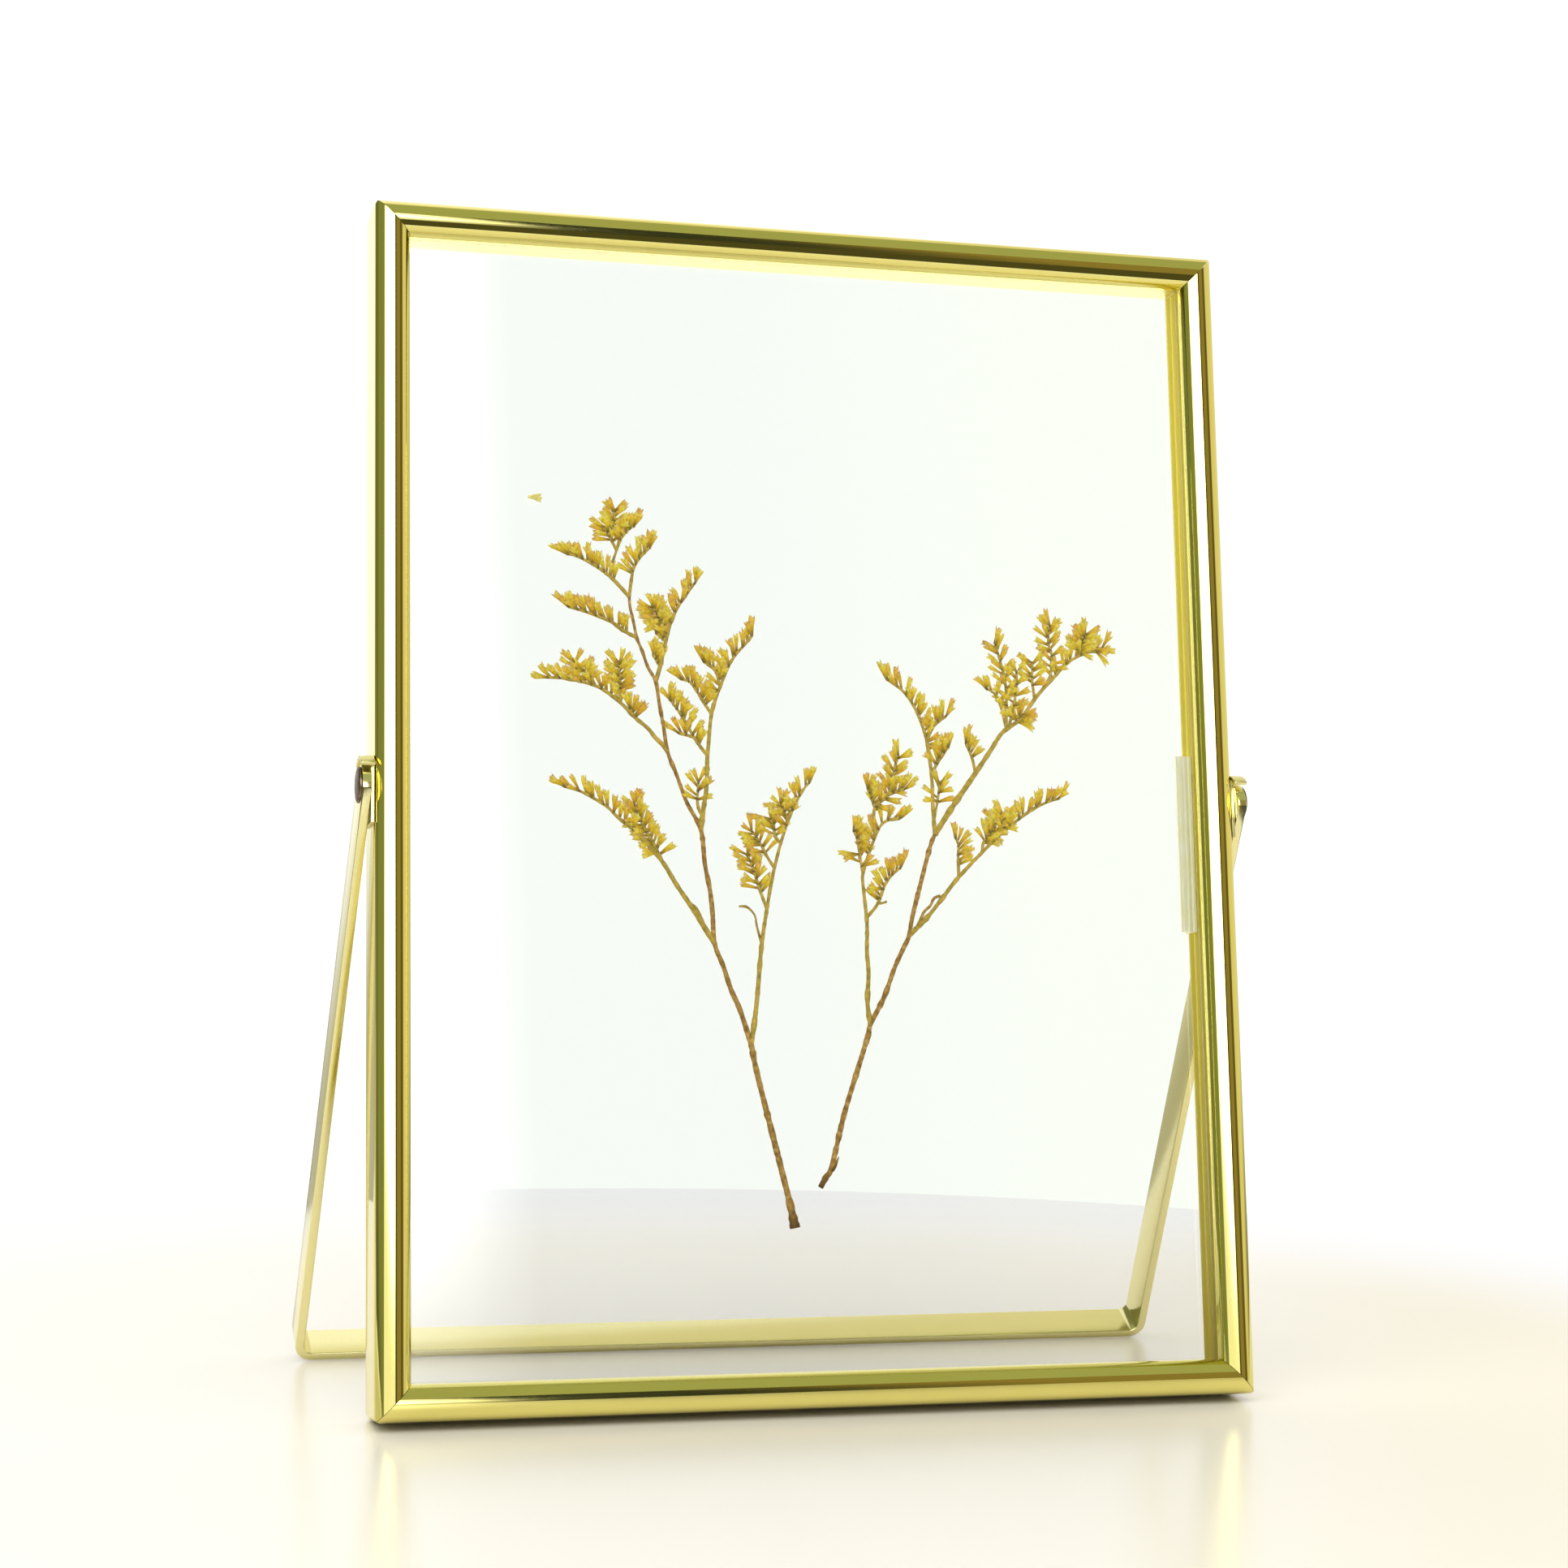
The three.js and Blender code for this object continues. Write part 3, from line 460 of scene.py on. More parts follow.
def member_section(sizes):
    """The section as two lists of points that face each other: the front, a half circle from
    the outer face to the inner one, and the back, which follows it at the same distances
    inwards. Where the wall ends behind the lip, the back steps forward."""
    radius = sizes.bead_radius
    angle = np.linspace(0, math.pi, BEAD_STEPS + 1)
    inwards = radius - radius * np.cos(angle)
    edge = sizes.rear_edge_radius
    rounded = edge - edge * np.cos(np.linspace(0, math.pi / 2, REAR_STEPS + 1))
    inwards = np.unique(np.round(np.concatenate([inwards, rounded, [sizes.wall_thickness]]), 9))
    front = radius - np.sqrt(np.maximum(radius ** 2 - (inwards - radius) ** 2, 0))
    short = np.maximum(edge - inwards, 0)
    back = sizes.frame_depth - edge + np.sqrt(np.maximum(edge ** 2 - short ** 2, 0))
    wall = int(np.argmin(np.abs(inwards - sizes.wall_thickness)))
    return inwards, front, back, wall


def member_shape(length, sizes):
    """A member that runs from mitre to mitre. A point that lies a distance inwards starts that
    far along too, or where the frame's rounded corner begins. Points are given as distance
    inwards, depth and distance along."""
    inwards, front, back, wall = member_section(sizes)
    lip = np.full(len(inwards) - wall, sizes.lip_back)
    loop_in = np.concatenate([inwards, inwards[wall:][::-1], inwards[:wall + 1][::-1]])
    loop_depth = np.concatenate([front, lip, back[:wall + 1][::-1]])
    radius = sizes.corner_radius
    arc = radius - np.sqrt(np.maximum(radius ** 2 - np.maximum(radius - loop_in, 0) ** 2, 0))
    start = np.maximum(loop_in + sizes.seam, arc)
    along = np.stack([start, length - start])
    shape = np.stack([np.broadcast_to(loop_in, along.shape),
                      np.broadcast_to(loop_depth, along.shape), along], axis=-1)
    count, total = len(inwards), len(loop_in)
    faces = grid_faces(2, total).tolist()
    channel = np.zeros(len(faces), int)
    channel[count - 1:total - wall - 1] = 1
    for first in (0, total):
        for step in range(count - 1):
            ahead = step + 1
            back_step = total - 1 - step
            if step >= wall:
                back_step = total - 2 - step
            cap = [step, ahead, back_step - 1, back_step]
            if ahead == wall:
                cap = [step, ahead, back_step - 2, back_step - 1, back_step]
            faces.append([corner + first for corner in cap])
    finish = np.zeros(len(faces), int)
    finish[:len(channel)] = channel
    return shape, faces, finish


class FLOWERFRAME_OT_members(bpy.types.Operator):
    """Builds the four mitred members with their smooth half-round beads"""

    bl_idname = "flower_frame.members"
    bl_label = "Frame members"

    def execute(self, context):
        sizes = context.scene.flower_frame_sizes
        half = sizes.frame_width / 2
        top = sizes.frame_height
        places = {
            "frame_left": (top, lambda a, t: (a - half, t)),
            "frame_right": (top, lambda a, t: (half - a, top - t)),
            "frame_top": (2 * half, lambda a, t: (t - half, top - a)),
            "frame_bottom": (2 * half, lambda a, t: (half - t, a)),
        }
        for name, (length, turned) in places.items():
            shape, faces, finish = member_shape(length, sizes)
            across, height = turned(shape[..., 0], shape[..., 2])
            points = place(across, shape[..., 1], height)
            # The top member's channel takes the paler satin finish, a painted reflection of the bright room it
            # mirrors.
            channel = satin_brass() if name == "frame_top" else inner_brass()
            piece = new_piece(f"{name}_member", points, faces, [bright_brass(), channel],
                              FRAME_BODY, [name], 28)
            piece.data.polygons.foreach_set("material_index", finish)
            soften(piece, MEMBER_EDGE, 40)
        return {"FINISHED"}


# ---------------------------------------------------------------- panes and clip

PANE_DEPTHS = {"front": (3.6 * MM, 5.2 * MM), "back": (6.3 * MM, 7.9 * MM)}
PANE_BEDDING = 0.04 * MM
PANE_EDGE = 0.05 * MM
CLIP_HEIGHTS = (79.3 * MM, 110.3 * MM)
CLIP_FACE = 8.2 * MM
CLIP_THICKNESS = 0.8 * MM
CLIP_FLANGE = 2.85 * MM
CLIP_RIB = 0.07 * MM
CLIP_RIBS = 4
CLIP_BEDDING = 0.02 * MM
PLAIN_BESIDE_RIBS = 0.1 * MM
RIB_STEPS = 8


def extruded(line, heights):
    """A straight piece from a closed line of across and depth, drawn up between two heights."""
    points = place(line[None, :, 0], line[None, :, 1], np.array(heights)[:, None])
    return points, tube_faces(2, len(line))


class FLOWERFRAME_OT_panes(bpy.types.Operator):
    """Builds the two clear panes, which fill the channel from wall to wall"""

    bl_idname = "flower_frame.panes"
    bl_label = "Panes"

    def execute(self, context):
        sizes = context.scene.flower_frame_sizes
        side = sizes.frame_width / 2 - sizes.wall_thickness + PANE_BEDDING
        foot = sizes.wall_thickness - PANE_BEDDING
        for name, (near, far) in PANE_DEPTHS.items():
            line = np.array([[-side, near], [side, near], [side, far], [-side, far]])
            points, faces = extruded(line, (foot, sizes.frame_height - foot))
            pane = new_piece(f"pane_{name}", points, faces,
                             [material_of("float_glass_clear", float_glass)], FRAME_BODY,
                             [f"glass_{name}"])
            edge = pane.modifiers.new("ground edges", "BEVEL")
            edge.width = PANE_EDGE
            edge.segments = 1
        return {"FINISHED"}


def ribbed(start, end, ribs):
    """A line from one point to another that waves in and out a little, once for each rib."""
    share = np.linspace(0, 1, RIB_STEPS * ribs + 1)[:, None]
    start, end = np.array(start), np.array(end)
    across = (end - start) / np.linalg.norm(end - start) @ np.array([[0, 1], [-1, 0]])
    wave = CLIP_RIB * (1 - np.cos(2 * math.pi * ribs * share)) / 2
    return start + share * (end - start) - wave * across


class FLOWERFRAME_OT_clip(bpy.types.Operator):
    """Builds the ribbed angle strip that holds the rear pane at the right"""

    bl_idname = "flower_frame.clip"
    bl_label = "Retaining clip"

    def execute(self, context):
        sizes = context.scene.flower_frame_sizes
        wall = sizes.frame_width / 2 - sizes.wall_thickness - CLIP_BEDDING
        inner = wall - CLIP_THICKNESS
        tip = wall - CLIP_FLANGE
        back = CLIP_FACE + CLIP_THICKNESS
        line = np.concatenate([
            [[wall, CLIP_FACE], [wall, sizes.frame_depth]],
            ribbed([inner, sizes.frame_depth], [inner, back], CLIP_RIBS),
            [[tip, back]],
            ribbed([tip, CLIP_FACE], [wall - PLAIN_BESIDE_RIBS, CLIP_FACE], CLIP_RIBS),
        ])
        points, faces = extruded(line, CLIP_HEIGHTS)
        new_piece("ribbed_clip", points, faces, [frosted_strip()], FRAME_BODY,
                  ["retaining_clip"], 50)
        return {"FINISHED"}


# ---------------------------------------------------------------- hinges and stand

BRACKET_INSIDE = 75.02 * MM
BRACKET_OUTSIDE = 75.52 * MM
RIM_OUTSIDE = 77.35 * MM
RIM_INNER_RADIUS = 4.15 * MM
RIM_ANGLES = (48, 138)
BRACKET_RADIUS = 4.8 * MM
BRACKET_FRONT = 2.0 * MM
BRACKET_BACK = 10.6 * MM
BRACKET_BOTTOM = 95.4 * MM
BRACKET_SHOULDER = 1 * MM
BRACKET_EDGE = 0.1 * MM
SHOULDER_STEPS = 12
FRONT_STEPS = 16
HOLE_STEPS = 6
RIM_STEPS = 32
HOLE_RADIUS = 1.6 * MM
LEG_OUTSIDE_AT_PIVOT = 77.15 * MM
LEG_OUTSIDE_AT_BAR = 80.1 * MM
LEG_TOP = 3.2 * MM
LEG_TOP_RADIUS = 4 * MM
BEND_RADIUS = 3 * MM
BEND_STEPS = 12
LEG_STEPS = 12
LEG_TIP_ANGLE = 0.02
STRIP_CORNER = 0.22 * MM
CORNER_STEPS = 4
RIVET_GAP = 0.05 * MM
RIVET_HEAD_RADIUS = 3 * MM
RIVET_HEAD_HEIGHT = 0.65 * MM
RIVET_EDGE_SHARE = 0.3
DOME_STEPS = 8
TURNED_STEPS = 40
SHANK_RADIUS = 1.3 * MM
SHANK_DEPTH = 1.8 * MM


def bracket_outline(sizes):
    """The bracket from the side: a square foot, a straight back, a swept shoulder and part of a
    circle round the hinge line, down to the straight front. Points are depth and height."""
    depth, height = sizes.pivot_depth, sizes.pivot_height
    share = np.linspace(0, 1, SHOULDER_STEPS + 1)[1:]
    corner = np.array([BRACKET_BACK, height + BRACKET_RADIUS])
    start = np.array([BRACKET_BACK, height + BRACKET_SHOULDER])
    end = np.array([depth, height + BRACKET_RADIUS])
    weights = [(1 - share) ** 2, 2 * share * (1 - share), share ** 2]
    shoulder = sum(weight[:, None] * point for weight, point in zip(weights, (start, corner, end)))
    turn = math.acos((BRACKET_FRONT - depth) / BRACKET_RADIUS)
    angle = np.linspace(math.pi / 2, turn, FRONT_STEPS + 1)[1:]
    front = np.stack([depth + BRACKET_RADIUS * np.cos(angle),
                      height + BRACKET_RADIUS * np.sin(angle)], axis=-1)
    foot = np.array([[BRACKET_FRONT, BRACKET_BOTTOM], [BRACKET_BACK, BRACKET_BOTTOM]])
    return np.concatenate([foot, [start], shoulder, front])


def bracket_shape(sizes, side):
    """A flat plate with a hole. Four rings of points, the outline and the hole at each face,
    are closed in turn. Each point of the hole lies on the way from the hinge line to a point of
    the outline, whose long edges are divided for that."""
    line = bracket_outline(sizes)
    after = np.roll(line, -1, axis=0)
    share = np.linspace(0, 1, HOLE_STEPS + 1)[:-1, None]
    line = (line[:, None] + (after - line)[:, None] * share).reshape(-1, 2)
    middle = np.array([sizes.pivot_depth, sizes.pivot_height])
    away = line - middle
    hole = middle + HOLE_RADIUS * away / np.linalg.norm(away, axis=1, keepdims=True)
    rings = np.stack([line, line, hole, hole])
    across = side * np.array([BRACKET_INSIDE, BRACKET_OUTSIDE, BRACKET_OUTSIDE, BRACKET_INSIDE])
    points = place(across[:, None], rings[..., 0], rings[..., 1])
    return points, grid_faces(5, len(line)) % (4 * len(line))


def rim_shape(sizes, side):
    """The bracket's rim, bent outwards over the top of the leg: a band of even thickness along
    part of a circle round the hinge line."""
    angle = np.radians(np.linspace(*RIM_ANGLES, RIM_STEPS + 1))[:, None]
    radius = np.array([BRACKET_RADIUS, BRACKET_RADIUS, RIM_INNER_RADIUS, RIM_INNER_RADIUS])
    across = side * np.array([BRACKET_INSIDE, RIM_OUTSIDE, RIM_OUTSIDE, BRACKET_INSIDE])
    points = place(across, sizes.pivot_depth + radius * np.cos(angle),
                   sizes.pivot_height + radius * np.sin(angle))
    return points, tube_faces(len(angle), 4)


def rivet_shape(sizes, side):
    """A turned rivet: a profile of distance outwards and radius, carried round the hinge line.
    The head is a low dome, part of an ellipse, on an upright edge."""
    under = LEG_OUTSIDE_AT_PIVOT + RIVET_GAP
    dome = np.linspace(0, math.pi / 2, DOME_STEPS + 1)[:-1]
    rise = RIVET_EDGE_SHARE + (1 - RIVET_EDGE_SHARE) * np.sin(dome)
    outwards = np.concatenate([[sizes.frame_width / 2 - SHANK_DEPTH, under, under],
                               under + RIVET_HEAD_HEIGHT * rise])
    radius = np.concatenate([[SHANK_RADIUS, SHANK_RADIUS], [RIVET_HEAD_RADIUS],
                             RIVET_HEAD_RADIUS * np.cos(dome)])
    angle = np.linspace(0, 2 * math.pi, TURNED_STEPS + 1)[:-1]
    points = place(side * outwards[:, None],
                   sizes.pivot_depth + radius[:, None] * np.cos(angle),
                   sizes.pivot_height + radius[:, None] * np.sin(angle))
    return points, tube_faces(len(radius), len(angle))


class FLOWERFRAME_OT_hinges(bpy.types.Operator):
    """Builds the bracket and the rivet of each hinge"""

    bl_idname = "flower_frame.hinges"
    bl_label = "Hinges"

    def execute(self, context):
        sizes = context.scene.flower_frame_sizes
        steel = dark_rivet_steel()
        for name, side in (("left", -1), ("right", 1)):
            for part, (points, faces) in {"plate": bracket_shape(sizes, side),
                                          "rim": rim_shape(sizes, side)}.items():
                plate = new_piece(f"bracket_{part}_{name}", points, faces, [satin_brass()],
                                  FRAME_BODY, [f"hinge_bracket_{name}"])
                soften(plate, BRACKET_EDGE)
            points, faces = rivet_shape(sizes, side)
            new_piece(f"rivet_{name}", points, faces, [steel], FRAME_BODY,
                      [f"hinge_rivet_{name}"])
        return {"FINISHED"}


def strip_line(sizes):
    """The middle line of the stand's strip, seen square on: down the left leg, round a bend,
    along the bar and up the right leg. The legs stand a little wider at the bar. Points are
    across, along, and the breadth that the strip still has there."""
    half = sizes.strip_thickness / 2
    radius = BEND_RADIUS - half
    bottom = -sizes.leg_length + half
    slope = (LEG_OUTSIDE_AT_BAR - LEG_OUTSIDE_AT_PIVOT) / sizes.leg_length
    side = LEG_OUTSIDE_AT_PIVOT - slope * bottom - half
    lean = math.atan(slope)
    angle = np.linspace(lean, math.pi / 2, BEND_STEPS + 1)
    bend_across = side - radius + radius * np.cos(angle)
    bend_along = bottom + radius - radius * np.sin(angle)
    centre = LEG_TOP - LEG_TOP_RADIUS
    full = sizes.strip_width / 2
    shoulder = math.acos(math.sqrt(LEG_TOP_RADIUS ** 2 - full ** 2) / LEG_TOP_RADIUS)
    crown = centre + LEG_TOP_RADIUS * np.cos(np.linspace(LEG_TIP_ANGLE, shoulder, LEG_STEPS))
    breadth = np.sqrt(np.maximum(LEG_TOP_RADIUS ** 2 - (crown - centre) ** 2, 0))
    leg_along = np.concatenate([crown, np.linspace(crown[-1], bend_along[0], LEG_STEPS)[1:-1]])
    leg_across = LEG_OUTSIDE_AT_PIVOT - half - slope * leg_along
    leg_breadth = np.concatenate([breadth, np.full(LEG_STEPS - 2, full)])
    across = np.concatenate([leg_across, bend_across])
    along = np.concatenate([leg_along, bend_along])
    breadths = np.concatenate([leg_breadth, np.full(len(angle), full)])
    line = np.stack([across, along, breadths], axis=-1)
    mirrored = line[::-1] * np.array([-1, 1, 1])
    return np.concatenate([line, mirrored])


def strip_section(sizes):
    """A rectangle with rounded corners, one unit of breadth wide from the middle and as thick
    as the strip. Points are breadth, thickness and the rounding taken off the breadth."""
    half = sizes.strip_thickness / 2
    angle = np.linspace(0, math.pi / 2, CORNER_STEPS + 1)
    quarter_breadth = STRIP_CORNER * (np.cos(angle) - 1)
    quarter_thickness = half + STRIP_CORNER * (np.sin(angle) - 1)
    signs = ((1, 1), (-1, 1), (-1, -1), (1, -1))
    sides, offsets, heights = [], [], []
    for index, (breadth_sign, thickness_sign) in enumerate(signs):
        order = slice(None) if index % 2 == 0 else slice(None, None, -1)
        sides.append(np.full(CORNER_STEPS + 1, breadth_sign))
        offsets.append((breadth_sign * quarter_breadth)[order])
        heights.append((thickness_sign * quarter_thickness)[order])
    return np.concatenate(sides), np.concatenate(offsets), np.concatenate(heights)


class FLOWERFRAME_OT_stand(bpy.types.Operator):
    """Builds the strip stand with its round bends and round leg tops"""

    bl_idname = "flower_frame.stand"
    bl_label = "Stand"

    def execute(self, context):
        sizes = context.scene.flower_frame_sizes
        line = strip_line(sizes)
        ahead = np.gradient(line[:, :2], axis=0)
        ahead /= np.linalg.norm(ahead, axis=1, keepdims=True)
        outwards = np.stack([-ahead[:, 1], ahead[:, 0]], axis=-1)
        sides, offsets, heights = strip_section(sizes)
        narrow = np.minimum(line[:, 2:3] / STRIP_CORNER, 1)
        breadth = sides * line[:, 2:3] + offsets * narrow
        across = line[:, 0:1] + outwards[:, 0:1] * heights
        along = line[:, 1:2] + outwards[:, 1:2] * heights
        points = place_on_stand(across, breadth, along)
        new_piece("strip_stand", points, tube_faces(*across.shape), [light_brass()],
                  STAND_BODY, ["stand"])
        return {"FINISHED"}


# ---------------------------------------------------------------- pressed sprigs

# Routes are drawn in the plane of the panes, in millimetres: X from the frame's middle and
# height from its bottom edge. A twig is a route with its width at both ends. A spray carries
# florets from part of its way to its tip, on its left (1) or right (-1) as it grows, or both (0).

SPRIG_DEPTH = 5.75 * MM
BOTH_SIDES_FULLER = 1.35
SPRAY_STOUTER = 0.1
SPRAY_TIP = 0.45


def twig(route, start, end, youth=0.0, club=0.0):
    """A bare twig with its width at both ends in millimetres. A stem may swell to a club where
    it was cut, by a share of its width."""
    return {"route": route, "start": start, "end": end, "youth": youth, "club": club,
            "florets": 0}


def spray(route, start, side, florets, begin=0.3):
    """A twig that carries florets from a share of its length on. A spray with florets on both
    sides is the fuller one."""
    count = round(florets * BOTH_SIDES_FULLER) if side == 0 else florets
    return {"route": route, "start": start + SPRAY_STOUTER, "end": SPRAY_TIP, "youth": 1.0,
            "club": 0.0, "side": side, "florets": count, "begin": begin}


STEMS = {
    "left": [
        twig([[-4.8, 29.3], [-5.7, 33.7], [-8, 43.1], [-10, 51.2], [-11.3, 56.8], [-11.8, 59.5],
              [-13.6, 65.3], [-15.1, 68.7], [-16.4, 72.7], [-17.8, 76.4], [-18.1, 81.6], [-18.5, 85.5],
              [-19.3, 89.9], [-19.9, 95.5], [-22.3, 100.2], [-23.9, 104.6], [-25.4, 108.5],
              [-26.1, 113], [-26.8, 117], [-27.3, 120.4], [-28.6, 122.8], [-29.6, 125.6],
              [-30.5, 127.8], [-31, 130.4], [-31.6, 133.1], [-31.7, 134.8]], 1.1, 0.5, 0.0, 0.4),
    ],
    "right": [
        twig([[-0.3, 35.9], [0.7, 37.6], [1.7, 39.2], [4, 47.7], [6.5, 55.1], [8.6, 61.2], [9, 62.9],
              [11.6, 67.7], [13.5, 72.5], [15.3, 76.1], [16.2, 77.9], [16.9, 81.2], [18.6, 87.2],
              [20.4, 93.3], [21.3, 95.4]], 0.95, 0.75),
        twig([[1.6, 38.6], [2.3, 39.5], [3, 40.9]], 0.95, 0.2),
    ],
}

